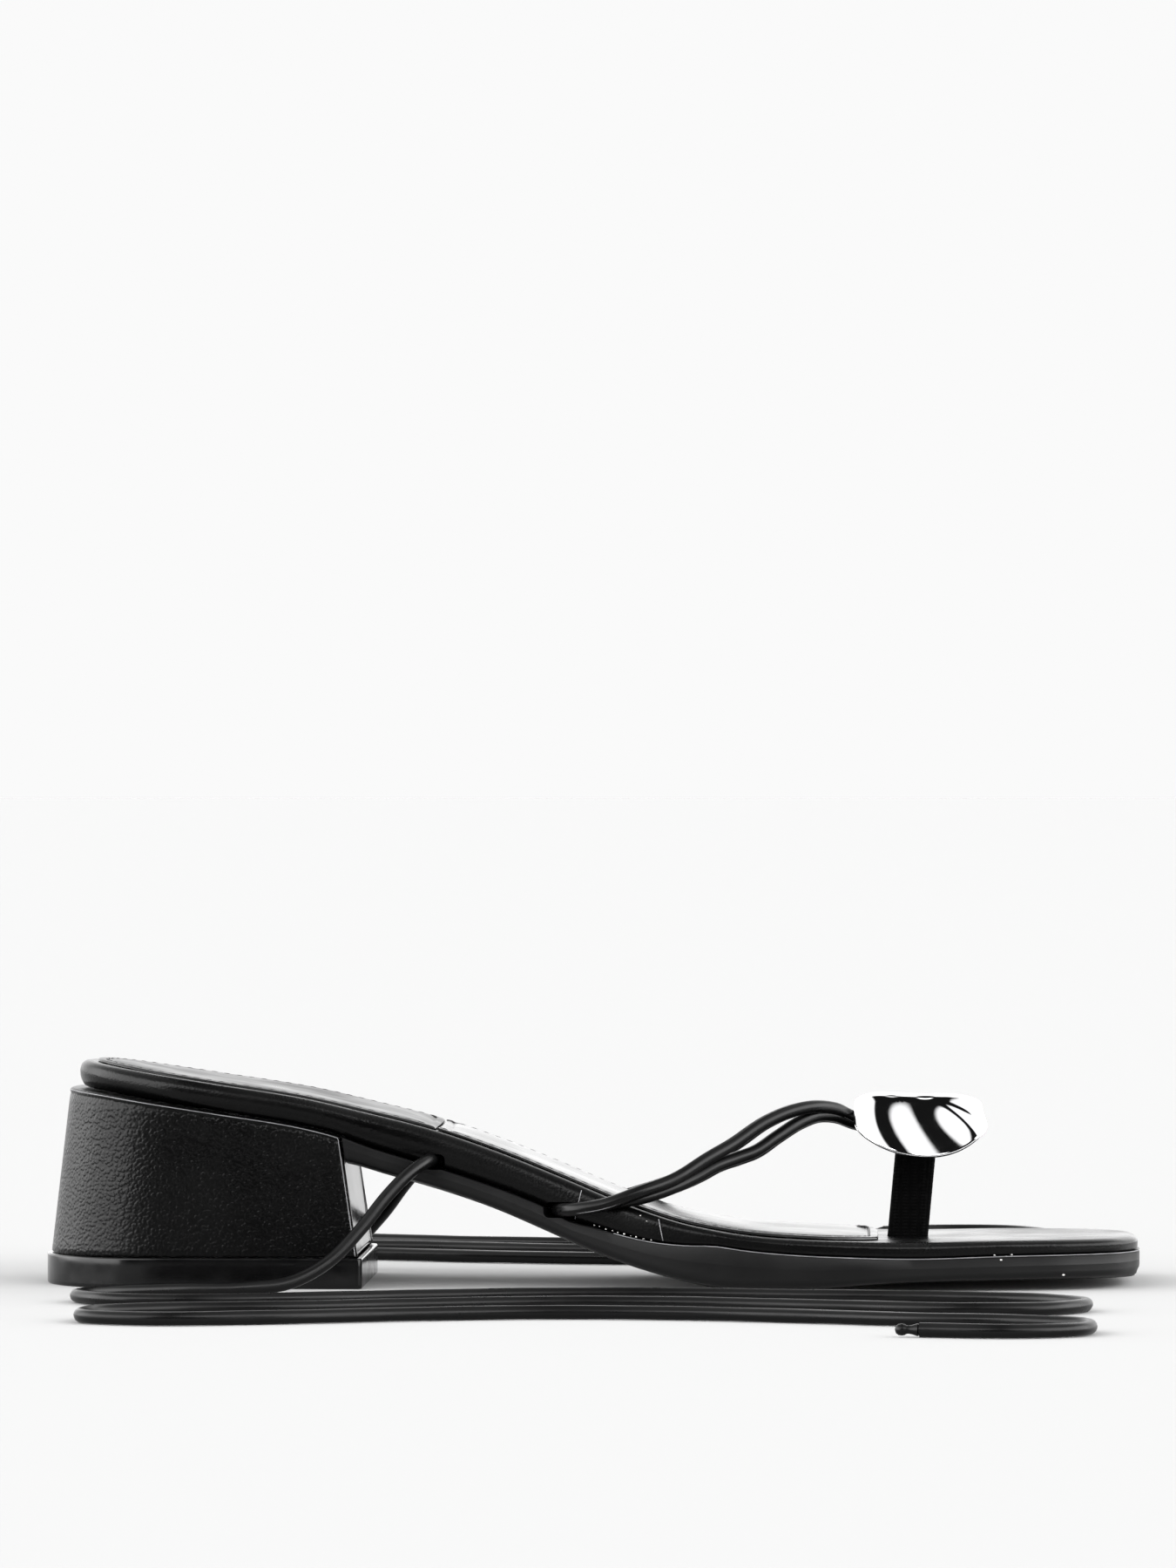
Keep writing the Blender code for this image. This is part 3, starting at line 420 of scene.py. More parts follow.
# Seams on the wrap's outer side: places along the sole at their upper and lower ends
WRAP_SEAMS = ((0.480, 0.474), (0.552, 0.556))

# Specks of glue on the outer side, made pale to paint glints as well: place along, share of the way down
# the rim, radius in millimetres
SPECKS = table("along down size", (
    (0.492, 0.97, 0.14),
    (0.497, 0.96, 0.11),
    (0.503, 0.98, 0.17),
    (0.509, 0.97, 0.12),
    (0.514, 0.98, 0.15),
    (0.520, 0.97, 0.18),
    (0.526, 0.98, 0.12),
    (0.531, 0.97, 0.16),
    (0.538, 0.98, 0.13),
    (0.545, 0.97, 0.12),
    (0.487, 0.55, 0.10),
    (0.535, 0.20, 0.12),
    (0.541, 0.32, 0.10),
    (0.862, 0.97, 0.15),
    (0.868, 1.20, 0.20),
    (0.873, 1.05, 0.13),
    (0.878, 0.98, 0.16),
    (0.926, 1.95, 0.22),
))

# Route of the outer tie, in millimetres; a point without a height lies on the floor
TIE_ROUTE_LATERAL = (
    (-35.4, -23.4, 29.6), (-36.4, -27.6, 29.3), (-39.6, -32, 27.4), (-45, -36, 22),
    (-51, -39.6, 14.4), (-58, -43.2, 7.2), (-66.5, -46.6, 2.7), (-77, -49.8), (-92, -54),
    (-105, -61), (-112, -73), (-105, -85), (-90, -89), (-66, -85), (-38, -75), (-8, -67), (24, -66),
    (54, -71), (82, -75), (102, -82), (111, -95), (104, -108), (86, -112), (58, -105), (28, -96),
    (-4, -94), (-36, -102), (-64, -112), (-88, -117), (-103, -126), (-104, -139), (-91, -146),
    (-66, -142), (-36, -131), (-6, -124), (24, -126), (50, -134), (74, -143), (95, -148),
    (109, -157), (108, -170), (94, -177), (74, -174),
)

# Route of the inner tie in the same way
TIE_ROUTE_MEDIAL = (
    (-35.4, 20.6, 29), (-36.4, 25, 28.8), (-39.8, 29.6, 26.8), (-45, 34, 21), (-51, 38.6, 13.2),
    (-58, 43, 6.2), (-67, 46.8, 2.3), (-78, 49.6), (-94, 53), (-107, 61), (-110, 74), (-99, 84),
    (-80, 85), (-54, 77), (-26, 67), (6, 61), (36, 63), (66, 69), (92, 70), (107, 79), (109, 93),
    (97, 103), (76, 102), (48, 93), (18, 89), (-12, 94), (-42, 104), (-70, 110), (-93, 114),
    (-107, 124), (-104, 137), (-89, 142), (-64, 136), (-34, 125), (-2, 119), (30, 124), (54, 135),
    (78, 143), (98, 151), (108, 162), (101, 175), (84, 178), (68, 171),
)

# Sizes that follow from those above
SEAT_RISE = SEAT_HEIGHT - BALL_HEIGHT
HEEL_BACK_X = -(SOLE_LENGTH + HEEL_SWEEP) / 2
SOLE_BACK_X = HEEL_BACK_X + HEEL_SWEEP
CORD_RADIUS = CORD_DIAMETER / 2


def place_along(share):
    """X of a share of the sole's length."""
    return SOLE_BACK_X + share * SOLE_LENGTH


def share_along(x):
    return (x - SOLE_BACK_X) / SOLE_LENGTH


def curve_of(rows, column, key="along"):
    """Returns a smooth function through a table's column that never overshoots its rows."""
    places = [row[key] for row in rows]
    values = [row[column] for row in rows]
    grades = [(values[i + 1] - values[i]) / (places[i + 1] - places[i]) for i in range(len(rows) - 1)]
    slopes = [grades[0]]
    for before, after in zip(grades, grades[1:]):
        slopes.append(2 * before * after / (before + after) if before * after > 0 else 0.0)
    slopes.append(grades[-1])

    def value(place):
        place = min(max(place, places[0]), places[-1])
        span = 0
        while span < len(places) - 2 and places[span + 1] <= place:
            span += 1
        width = places[span + 1] - places[span]
        t = (place - places[span]) / width
        start = (1 + 2 * t) * (1 - t) ** 2 * values[span] + t * (1 - t) ** 2 * width * slopes[span]
        end = t * t * (3 - 2 * t) * values[span + 1] - t * t * (1 - t) * width * slopes[span + 1]
        return start + end

    return value


top_rise = curve_of(TOP_LINE, "rise")
bottom_rise = curve_of(BOTTOM_LINE, "rise")
toe_lift = curve_of(BOTTOM_LINE, "spring")
footbed_share = curve_of(FOOTBED_STACK, "thickness")
dish_share = curve_of(FOOTBED_STACK, "dish")
lateral_share = curve_of(OUTLINE, "lateral")
medial_share = curve_of(OUTLINE, "medial")
medial_drop = curve_of(MEDIAL_DROP, "drop")
sock_rise = curve_of(SOCK_EDGE, "rise")


def ramp(value, low, high):
    """Smooth step from 0 at low to 1 at high."""
    t = min(max((value - low) / (high - low), 0.0), 1.0)
    return t * t * (3 - 2 * t)


def across_share(x, y):
    """Place across the sole: -1 at the outer edge, 1 at the inner edge."""
    share = share_along(x)
    lateral = lateral_share(share) * BALL_WIDTH
    medial = medial_share(share) * BALL_WIDTH
    half = max((medial - lateral) / 2, MM)
    return min(max((y - (medial + lateral) / 2) / half, -1.0), 1.0)


def forefoot_roll(x, y):
    """The forefoot's inner side lies a little lower than its outer side."""
    return -FOREFOOT_ROLL * ramp(share_along(x), 0.35, 0.60) * (y / BALL_WIDTH + 0.5)


def edge_height(x, y):
    """Top of the footbed's rim."""
    return BALL_HEIGHT + SEAT_RISE * top_rise(share_along(x)) + forefoot_roll(x, y)


def footbed_top(x, y):
    """Top face of the footbed, dished between its rims."""
    dish = FOOTBED_DISH * dish_share(share_along(x)) * (1 - across_share(x, y) ** 2)
    return edge_height(x, y) - dish


def footbed_under(x, y):
    return edge_height(x, y) - FOOTBED_THICKNESS * footbed_share(share_along(x))


def outsole_top(x, y):
    return footbed_under(x, y) - CLEARANCE


def outsole_under(x, y):
    """Underside of the outsole, flat under the ball and lifted a little at its edges."""
    share = share_along(x)
    across = across_share(x, y)
    crown = CROWN_LATERAL if across < 0 else CROWN_MEDIAL
    rounding = max(abs(across) - CROWN_FLAT, 0.0) / (1 - CROWN_FLAT)
    return SEAT_RISE * bottom_rise(share) + TOE_SPRING * toe_lift(share) + crown * rounding ** 2


def sock_under(x, y):
    return footbed_top(x, y) + CLEARANCE


def smooth_path(points, per_span, closed=False):
    """Returns points on a smooth curve through the given ones."""
    count = len(points)
    spans = count if closed else count - 1
    chords = [(points[(i + 1) % count] - points[i]).length for i in range(spans)]
    grades = [(points[(i + 1) % count] - points[i]) / chords[i] for i in range(spans)]
    tangents = []
    for i in range(count):
        if not closed and i in (0, count - 1):
            tangents.append(grades[0] if i == 0 else grades[-1])
            continue
        before, after = i - 1, i % spans
        total = chords[before] + chords[after]
        tangents.append((grades[before] * chords[after] + grades[after] * chords[before]) / total)
    path = []
    for i in range(spans):
        start, end = points[i], points[(i + 1) % count]
        lead, trail = tangents[i] * chords[i], tangents[(i + 1) % count] * chords[i]
        for k in range(per_span):
            t = k / per_span
            path.append(
                start * (1 + 2 * t) * (1 - t) ** 2 + lead * t * (1 - t) ** 2
                + end * t * t * (3 - 2 * t) - trail * t * t * (1 - t)
            )
    if not closed:
        path.append(points[-1].copy())
    return path


def path_lengths(path):
    """Running length at each point of a path."""
    lengths = [0.0]
    for before, after in zip(path, path[1:]):
        lengths.append(lengths[-1] + (after - before).length)
    return lengths


def resample(path, count, crowding=0.0):
    """Returns count + 1 points along a path, closer together near its ends."""
    lengths = path_lengths(path)
    points = []
    span = 0
    for i in range(count + 1):
        t = i / count
        goal = (t - crowding * math.sin(2 * math.pi * t) / (2 * math.pi)) * lengths[-1]
        while span < len(path) - 2 and lengths[span + 1] < goal:
            span += 1
        part = (goal - lengths[span]) / (lengths[span + 1] - lengths[span])
        points.append(path[span].lerp(path[span + 1], min(max(part, 0.0), 1.0)))
    return points


def foot_outline(per_side=160, crowding=0.5):
    """Points round the sole's plan: back, outer side, toe, inner side."""
    ends = [Vector((place_along(row["along"]), row["lateral"] * BALL_WIDTH)) for row in OUTLINE]
    inner = [Vector((place_along(row["along"]), row["medial"] * BALL_WIDTH)) for row in OUTLINE[1:-1]]
    samples = 12
    path = smooth_path(ends + inner[::-1], samples, closed=True)
    toe = (len(OUTLINE) - 1) * samples
    outer_side = resample(path[:toe + 1], per_side, crowding)
    inner_side = resample(path[toe:] + [path[0]], per_side, crowding)
    return outer_side[:-1] + inner_side[:-1]


def inward_normals(outline):
    """Unit normals of a closed plan outline, pointing inwards."""
    count = len(outline)
    normals = []
    for i in range(count):
        tangent = (outline[(i + 1) % count] - outline[i - 1]).normalized()
        normals.append(Vector((-tangent.y, tangent.x)))
    return normals


FOOT = foot_outline()
FOOT_NORMALS = inward_normals(FOOT)


def inset_foot(distance):
    """The sole's outline drawn in by a distance."""
    return [point + normal * distance for point, normal in zip(FOOT, FOOT_NORMALS)]


def add_ring(mesh, outline, height):
    """Adds a ring of points over a plan outline, each at height(x, y)."""
    return [mesh.verts.new((p.x, p.y, height(p.x, p.y))) for p in outline]


def bridge(mesh, upper, lower):
    """Joins two rings of equal count with a band of faces."""
    count = len(upper)
    for i in range(count):
        after = (i + 1) % count
        mesh.faces.new((upper[i], upper[after], lower[after], lower[i]))


def cap_ring(mesh, ring, height, across):
    """Closes a ring with rows of faces from its one side to its other side."""
    half = len(ring) // 2
    rows = [[ring[0]] * (across + 1)]
    for i in range(1, half):
        start, end = ring[i], ring[-i]
        row = [start]
        for k in range(1, across):
            point = start.co.lerp(end.co, k / across)
            row.append(mesh.verts.new((point.x, point.y, height(point.x, point.y))))
        rows.append(row + [end])
    rows.append([ring[half]] * (across + 1))
    for upper, lower in zip(rows, rows[1:]):
        for k in range(across):
            corners = (upper[k], upper[k + 1], lower[k + 1], lower[k])
            mesh.faces.new(list(dict.fromkeys(corners)))


def make_object(name, mesh):
    """Turns a bmesh into a named object with outward faces."""
    bmesh.ops.recalc_face_normals(mesh, faces=mesh.faces)
    data = bpy.data.meshes.new(name)
    mesh.to_mesh(data)
    mesh.free()
    thing = bpy.data.objects.new(name, data)
    bpy.context.scene.collection.objects.link(thing)
    return thing


def stacked_rings(name, levels, top, bottom, across):
    """A closed solid from rings, highest first, capped by a top and a bottom surface."""
    mesh = bmesh.new()
    rings = [add_ring(mesh, outline, height) for outline, height in levels]
    for upper, lower in zip(rings, rings[1:]):
        bridge(mesh, upper, lower)
    cap_ring(mesh, rings[0], top, across)
    cap_ring(mesh, rings[-1], bottom, across)
    return make_object(name, mesh)


def between(top, bottom, share):
    """A height function part of the way down from top to bottom."""
    return lambda x, y: top(x, y) * (1 - share) + bottom(x, y) * share


def section_of(rows, per_span):
    """Smooth section through a table of inset and depth."""
    points = [Vector((row["inset"], row["depth"])) for row in rows]
    return [(p.x, min(max(p.y, 0.0), 1.0)) for p in smooth_path(points, per_span)]


def dress(thing, look, replaces=(), smooth_angle=40):
    """Gives a piece its material, shading and slot, on the one body that there is."""
    thing.data.materials.clear()
    looks = look if isinstance(look, (list, tuple)) else (look,)
    for each in looks:
        thing.data.materials.append(each)
    thing.data.shade_smooth()
    if smooth_angle < 180:
        thing.data.set_sharp_from_angle(angle=math.radians(smooth_angle))
    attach(thing, "root")
    if replaces:
        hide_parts(*replaces)
    return thing


def cut(thing, cutters):
    """Cuts an object with others and removes them."""
    for cutter in cutters:
        step = thing.modifiers.new("Cut", "BOOLEAN")
        step.operation = "DIFFERENCE"
        step.solver = "EXACT"
        step.object = cutter
    graph = bpy.context.evaluated_depsgraph_get()
    data = bpy.data.meshes.new_from_object(thing.evaluated_get(graph))
    old = thing.data
    thing.modifiers.clear()
    thing.data = data
    bpy.data.meshes.remove(old)
    for cutter in cutters:
        bpy.data.objects.remove(cutter)
    return thing


def add_block(name, size, matrix, bevel=0.0, segments=3):
    """A box, its edges rounded if asked, placed by a matrix."""
    mesh = bmesh.new()
    bmesh.ops.create_cube(mesh, size=1.0)
    bmesh.ops.scale(mesh, vec=size, verts=mesh.verts)
    if bevel:
        bmesh.ops.bevel(mesh, geom=mesh.edges, offset=bevel, segments=segments, profile=0.5, affect="EDGES")
    bmesh.ops.transform(mesh, matrix=matrix, verts=mesh.verts)
    return make_object(name, mesh)


def tube_rings(path, radius, segments, twist=0.0, groove=0.0):
    """Rings of points round a path; the section may turn along it and carry a fine seam groove."""
    rings = []
    side = None
    lengths = path_lengths(path)
    for i, point in enumerate(path):
        ahead = path[min(i + 1, len(path) - 1)] - path[max(i - 1, 0)]
        ahead.normalize()
        if side is None:
            side = ahead.cross(Vector((0, 0, 1)))
            if side.length < 0.1:
                side = ahead.cross(Vector((0, 1, 0)))
        side = (side - ahead * side.dot(ahead)).normalized()
        up = side.cross(ahead)
        swell = 1
        for share, reach, start in CORD_SWELLS:
            swell += share * math.sin(lengths[i] / reach + start)
        ring = []
        for k in range(segments):
            angle = 2 * math.pi * k / segments
            turned = angle + twist * lengths[i]
            near = radius * swell - (groove if k == 0 else 0.0)
            ring.append(point + (side * math.cos(turned) + up * math.sin(turned)) * near)
        rings.append(ring)
    return rings


def tube(name, path, radius, segments=20, round_ends=True, **shape):
    """A round cord along a path, with domed ends."""
    mesh = bmesh.new()
    rings = tube_rings(path, radius, segments, **shape)
    if round_ends:
        for end, inner in ((0, 1), (-1, -2)):
            out = (path[end] - path[inner]).normalized()
            middle = path[end]
            size = (rings[end][segments // 2] - middle).length
            extra = []
            for step in DOME_STEPS:
                lift = math.sin(step * math.pi / 2) * size * DOME_RISE
                shrink = math.cos(step * math.pi / 2)
                extra.append([middle + (p - middle) * shrink + out * lift for p in rings[end]])
            rings = extra[::-1] + rings if end == 0 else rings + extra
    made = [[mesh.verts.new(p) for p in ring] for ring in rings]
    for upper, lower in zip(made, made[1:]):
        bridge(mesh, upper, lower)
    mesh.faces.new(made[0])
    mesh.faces.new(made[-1])
    return make_object(name, mesh)


def lathe(name, profile, place, heading, segments=20):
    """A turned piece: rows of radius, place along and material number, about a heading."""
    turn = heading.to_track_quat("Z", "Y").to_matrix().to_4x4()
    matrix = Matrix.Translation(place) @ turn
    mesh = bmesh.new()
    rings = []
    for radius, along, _ in profile:
        ring = []
        for k in range(segments):
            angle = 2 * math.pi * k / segments
            spot = Vector((radius * math.cos(angle), radius * math.sin(angle), along))
            ring.append(mesh.verts.new(matrix @ spot))
        rings.append(ring)
    for i, (upper, lower) in enumerate(zip(rings, rings[1:])):
        before = len(mesh.faces)
        bridge(mesh, upper, lower)
        mesh.faces.ensure_lookup_table()
        for face in mesh.faces[before:]:
            face.material_index = profile[i + 1][2]
    for ring, row in ((rings[0], profile[0]), (rings[-1], profile[-1])):
        face = mesh.faces.new(ring)
        face.material_index = row[2]
    return make_object(name, mesh)


# Camera, floor and light

# The studio: softboxes left and right, white backdrop and ceiling, a dark gap behind and above the camera
FLOOR_ALBEDO = 0.40
STUDIO_DARK = 0.01
STUDIO_SIDE = 9.0
STUDIO_BACK = 2.4
STUDIO_CEILING = 1.4
BACK_ANGLES = (1.7, 2.4)
CEILING_HEIGHTS = (0.50, 0.75)
GAP_HALF_LOW = 0.58
GAP_HALF_HIGH = 0.10
GAP_HEIGHTS = (0.20, 0.60)
GAP_EDGE = 0.02
BEHIND_DEPTHS = (0.20, 0.30)
BEHIND_HEIGHTS = (0.58, 0.64)


def math_node(tree, operation, *values):
    """Output of a math node; each value is a number or another node's output."""
    node = tree.nodes.new("ShaderNodeMath")
    node.operation = operation
    for socket, value in zip(node.inputs, values):
        if isinstance(value, (int, float)):
            socket.default_value = value
        else:
            tree.links.new(value, socket)
    return node.outputs[0]


def range_node(tree, value, span, start, end, kind="LINEAR"):
    """Maps a value from a span of low and high to start and end."""
    node = tree.nodes.new("ShaderNodeMapRange")
    node.interpolation_type = kind
    tree.links.new(value, node.inputs["Value"])
    for name, number in zip(("From Min", "From Max", "To Min", "To Max"), (*span, start, end)):
        node.inputs[name].default_value = number
    return node.outputs["Result"]


def make_camera():
    data = bpy.data.cameras.new("Camera")
    data.lens = CAMERA_LENS
    data.sensor_width = 36.0
    data.clip_start = 0.05
    data.clip_end = 200.0
    camera = bpy.data.objects.new("Camera", data)
    camera.location = CAMERA_PLACE
    away = Vector(CAMERA_TARGET) - Vector(CAMERA_PLACE)
    camera.rotation_euler = away.to_track_quat("-Z", "Y").to_euler()
    bpy.context.scene.collection.objects.link(camera)
    bpy.context.scene.camera = camera


def make_floor():
    mesh = bmesh.new()
    bmesh.ops.create_grid(mesh, x_segments=1, y_segments=1, size=60.0)
    floor = make_object("floor", mesh)
    look = bpy.data.materials.new("pale_floor")
    look.use_nodes = True
    shader = look.node_tree.nodes["Principled BSDF"]
    shader.inputs["Base Color"].default_value = (FLOOR_ALBEDO, FLOOR_ALBEDO, FLOOR_ALBEDO, 1)
    shader.inputs["Roughness"].default_value = 1.0
    shader.inputs["Specular IOR Level"].default_value = 0.0
    floor.data.materials.append(look)


def make_studio():
    """World light by direction; its parts give way over spans, and the camera sees only plain pale."""
    world = bpy.data.worlds.new("Studio")
    world.use_nodes = True
    bpy.context.scene.world = world
    tree = world.node_tree
    nodes, links = tree.nodes, tree.links
    nodes.clear()

    def maths(*call):
        return math_node(tree, *call)

    def step(value, span, start, end):
        return range_node(tree, value, span, start, end, "SMOOTHSTEP")

    spot = nodes.new("ShaderNodeTexCoord")
    split = nodes.new("ShaderNodeSeparateXYZ")
    links.new(spot.outputs["Generated"], split.inputs[0])
    x, y, z = split.outputs
    away = maths("ABSOLUTE", maths("ARCTAN2", x, maths("MULTIPLY", y, -1.0)))
    round_about = step(away, BACK_ANGLES, STUDIO_SIDE, STUDIO_BACK)
    upward = step(z, CEILING_HEIGHTS, 0.0, 1.0)
    above = maths("MULTIPLY", upward, maths("SUBTRACT", STUDIO_CEILING, round_about))
    full = maths("ADD", round_about, above)
    half = step(z, GAP_HEIGHTS, GAP_HALF_LOW, GAP_HALF_HIGH)
    past = maths("SUBTRACT", maths("ABSOLUTE", x), half)
    beside = step(past, (-GAP_EDGE, GAP_EDGE), 0.0, 1.0)
    behind = step(y, BEHIND_DEPTHS, 0.0, 1.0)
    low_down = step(z, BEHIND_HEIGHTS, 1.0, 0.0)
    opened = maths("MAXIMUM", beside, maths("MULTIPLY", behind, low_down))
    total = maths("MULTIPLY_ADD", opened, maths("SUBTRACT", full, STUDIO_DARK), STUDIO_DARK)

    lit = nodes.new("ShaderNodeBackground")
    links.new(total, lit.inputs["Strength"])
    seen = nodes.new("ShaderNodeBackground")
    seen.inputs["Color"].default_value = (WHITE, WHITE, WHITE, 1)
    path = nodes.new("ShaderNodeLightPath")
    mix = nodes.new("ShaderNodeMixShader")
    links.new(path.outputs["Is Camera Ray"], mix.inputs[0])
    links.new(lit.outputs[0], mix.inputs[1])
    links.new(seen.outputs[0], mix.inputs[2])
    out = nodes.new("ShaderNodeOutputWorld")
    links.new(mix.outputs[0], out.inputs["Surface"])
    bpy.context.scene.view_settings.view_transform = "Standard"


# Materials

# Values between which most of a noise lies
NOISE_SPAN = (0.3, 0.7)


class Look:
    """A node material with a few shorthands."""

    def __init__(self, name, colour, roughness, **numbers):
        self.material = bpy.data.materials.new(name)
        self.material.use_nodes = True
        self.tree = self.material.node_tree
        self.shader = self.tree.nodes["Principled BSDF"]
        self.shader.inputs["Base Color"].default_value = (*colour, 1.0)
        self.shader.inputs["Roughness"].default_value = roughness
        for key, value in numbers.items():
            self.shader.inputs[key.replace("_", " ")].default_value = value
        self.place = self.tree.nodes.new("ShaderNodeTexCoord").outputs["Object"]

    def texture(self, kind, stretch=None, **numbers):
        """A texture node over the object's own coordinates, stretched if asked."""
        place = self.place
        if stretch:
            node = self.tree.nodes.new("ShaderNodeVectorMath")
            node.operation = "MULTIPLY"
            self.tree.links.new(place, node.inputs[0])
            node.inputs[1].default_value = stretch
            place = node.outputs[0]
        node = self.tree.nodes.new("ShaderNodeTex" + kind)
        self.tree.links.new(place, node.inputs["Vector"])
        for name, value in numbers.items():
            node.inputs[name].default_value = value
        return node

    def noise(self, scale, detail, stretch=None):
        return self.texture("Noise", stretch, Scale=scale, Detail=detail).outputs["Fac"]

    def cells(self, scale):
        node = self.texture("Voronoi", Scale=scale)
        node.feature = "SMOOTH_F1"
        return node.outputs["Distance"]

    def waves(self, direction, scale, distortion=0.0):
        node = self.texture("Wave", Scale=scale, Distortion=distortion)
        node.bands_direction = direction
        return node.outputs["Fac"]

    def rough(self, value, low, high):
        spread = range_node(self.tree, value, NOISE_SPAN, low, high)
        self.tree.links.new(spread, self.shader.inputs["Roughness"])

    def tint(self, value, dark, light):
        node = self.tree.nodes.new("ShaderNodeMix")
        node.data_type = "RGBA"
        self.tree.links.new(value, node.inputs[0])
        node.inputs[6].default_value = (*dark, 1.0)
        node.inputs[7].default_value = (*light, 1.0)
        self.tree.links.new(node.outputs[2], self.shader.inputs["Base Color"])

    def bump(self, height, distance, strength):
        node = self.tree.nodes.new("ShaderNodeBump")
        self.tree.links.new(height, node.inputs["Height"])
        node.inputs["Distance"].default_value = distance
        node.inputs["Strength"].default_value = strength
        earlier = self.shader.inputs["Normal"].links
        if earlier:
            self.tree.links.new(earlier[0].from_socket, node.inputs["Normal"])
        self.tree.links.new(node.outputs[0], self.shader.inputs["Normal"])


def grey(value):
    return (value, value, value * 1.04)


# Materials that a table can state; look_from says what its columns hold
LOOKS = table("key name shade roughness more bumps rough tint", (
    ("breast", "breast_leather", 0.002, 0.12, {"IOR": 1.5},
     ((0.012, 0.4, 260, 3.0),), (80, 4.0, 0.07, 0.15), (300, 3.0, 0.001, 0.003)),
    ("wrap", "smooth_leather", 0.001, 0.28, {"IOR": 1.25},
     ((0.06, 0.7, 2100), (0.10, 0.35, 160, 4.0)), (60, 5.0, 0.20, 0.34), (300, 3.0, 0.0003, 0.0008)),
    ("sock", "sock_leather", 0.003, 0.22, {"IOR": 1.42},
     ((0.022, 0.5, 2200), (0.12, 0.4, 90, 4.0)), (40, 5.0, 0.17, 0.28), (220, 3.0, 0.002, 0.005)),
    ("seat", "seat_leather", 0.003, 0.32, {"IOR": 1.4},
     ((0.04, 0.6, 1900), (0.22, 0.5, 1.0, 4.0, (70, 220, 220))),
     (60, 5.0, 0.24, 0.44), (220, 3.0, 0.002, 0.005)),
    ("cord", "cord_leather", 0.001, 0.28, {"IOR": 1.28},
     ((0.05, 0.35, 700, 3.0),), (120, 4.0, 0.24, 0.38), (400, 3.0, 0.0006, 0.0018)),
    ("sole", "moulded_sole", 0.003, 0.42, {"IOR": 1.3},
     ((0.02, 0.5, 900, 3.0), (0.03, 0.4, 1.0, 4.0, (60, 60, 1400))),
     (70, 5.0, 0.34, 0.50), (150, 4.0, 0.001, 0.0022)),
    ("cap", "cap_plastic", 0.001, 0.16, {"IOR": 1.33},
     ((0.05, 0.3, 120, 3.0),), (200, 5.0, 0.10, 0.22), (300, 2.0, 0.001, 0.003)),
    ("thread", "black_thread", 0.010, 0.5, {"Sheen_Weight": 0.2},
     ((0.03, 0.6, 3000, 2.0),), None, (1500, 2.0, 0.006, 0.016)),
    # edge: a pale grey far lighter than the black leather, for hairlines that paint the highlights of edges
    # and seams
    ("edge", "cut_edge", 0.16, 0.35, {},
     (), (400, 3.0, 0.25, 0.5), (260, 3.0, 0.03, 0.30)),
))


def look_from(row):
    """Makes one material of the table.

    A bump is a depth in millimetres, a strength, and a noise's scale, detail and stretch or the scale
    of cells. Roughness and tint are a noise's scale and detail, and the values at its two ends.
    """
    look = Look(row["name"], grey(row["shade"]), row["roughness"], **row["more"])
    for depth, strength, *pattern in row["bumps"]:
        height = look.noise(*pattern) if len(pattern) > 1 else look.cells(*pattern)
        look.bump(height, depth * MM, strength)
    if row["rough"]:
        scale, detail, low, high = row["rough"]
        look.rough(look.noise(scale, detail), low, high)
    scale, detail, dark, light = row["tint"]
    look.tint(look.noise(scale, detail), grey(dark), grey(light))
    return look.material


def make_looks():
    """All the materials by name."""
    looks = {row["key"]: look_from(row) for row in LOOKS}

    heel = Look("grained_leather", grey(0.001), 0.30, IOR=1.25)
    heel.bump(range_node(heel.tree, heel.cells(1400), (0.26, 0.60), 1.0, 0.0), 0.065 * MM, 1.0)
    heel.bump(heel.noise(2600, 2.0), 0.02 * MM, 0.5)
    heel.rough(heel.noise(45, 4.0), 0.24, 0.34)
    heel.tint(heel.noise(500, 3.0), grey(0.0003), grey(0.0008))
    looks["grained"] = heel.material

    post = Look("post_textile", grey(0.001), 0.9, IOR=1.12, Sheen_Weight=0.01, Sheen_Roughness=0.4)
    weave = math_node(post.tree, "MULTIPLY", post.waves("X", 150.0), post.waves("Z", 420.0, 1.0))
    post.bump(weave, 0.12 * MM, 0.9)
    post.rough(post.noise(900, 2.0), 0.75, 0.95)
    post.tint(weave, grey(0.0003), grey(0.0012))
    looks["post"] = post.material

    metal = Look("polished_metal", (0.93, 0.93, 0.94), 0.03, Metallic=1.0)
    metal.bump(metal.noise(260, 2.0), 0.012 * MM, 0.25)
    metal.rough(metal.noise(300, 4.0), 0.015, 0.06)
    looks["metal"] = metal.material

    # Dried glue, made pale so that its specks also paint small glints
    glue = Look("dry_glue", (0.55, 0.54, 0.52), 0.4)
    glue.bump(glue.noise(4000, 2.0), 0.02 * MM, 0.5)
    glue.tint(glue.noise(900, 2.0), (0.35, 0.34, 0.33), (0.7, 0.69, 0.67))
    looks["glue"] = glue.material
    return looks


# The pieces

RIM_STEPS = 4


def rim_inset(x, inset, depth):
    """How far the rim is drawn in at one level; towards the toe it stays tight above the outsole."""
    tight = 1 - RIM_TIGHTNESS * ramp(depth, 0.5, 0.7) * ramp(share_along(x), 0.44, 0.58)
    return OUTSOLE_STEP + inset * FOOTBED_EDGE_ROUND * tight


def rim_outline(inset, depth):
    return [p + n * rim_inset(p.x, inset, depth) for p, n in zip(FOOT, FOOT_NORMALS)]


def make_wrap(looks):
    """The wrapped footbed with its rounded rim, slits and slot."""
    levels = []
    for inset, depth in section_of(FOOTBED_RIM, RIM_STEPS):
        weight = min(depth / 0.01, 1.0)
        top = between(footbed_top, edge_height, weight)
        levels.append((rim_outline(inset, depth), between(top, footbed_under, depth)))
    wrap = stacked_rings("footbed_wrap", levels, footbed_top, footbed_under, 20)
    cut(wrap, slit_cutters() + [post_slot()])
    return dress(wrap, looks["wrap"], ("footbed",), 35)


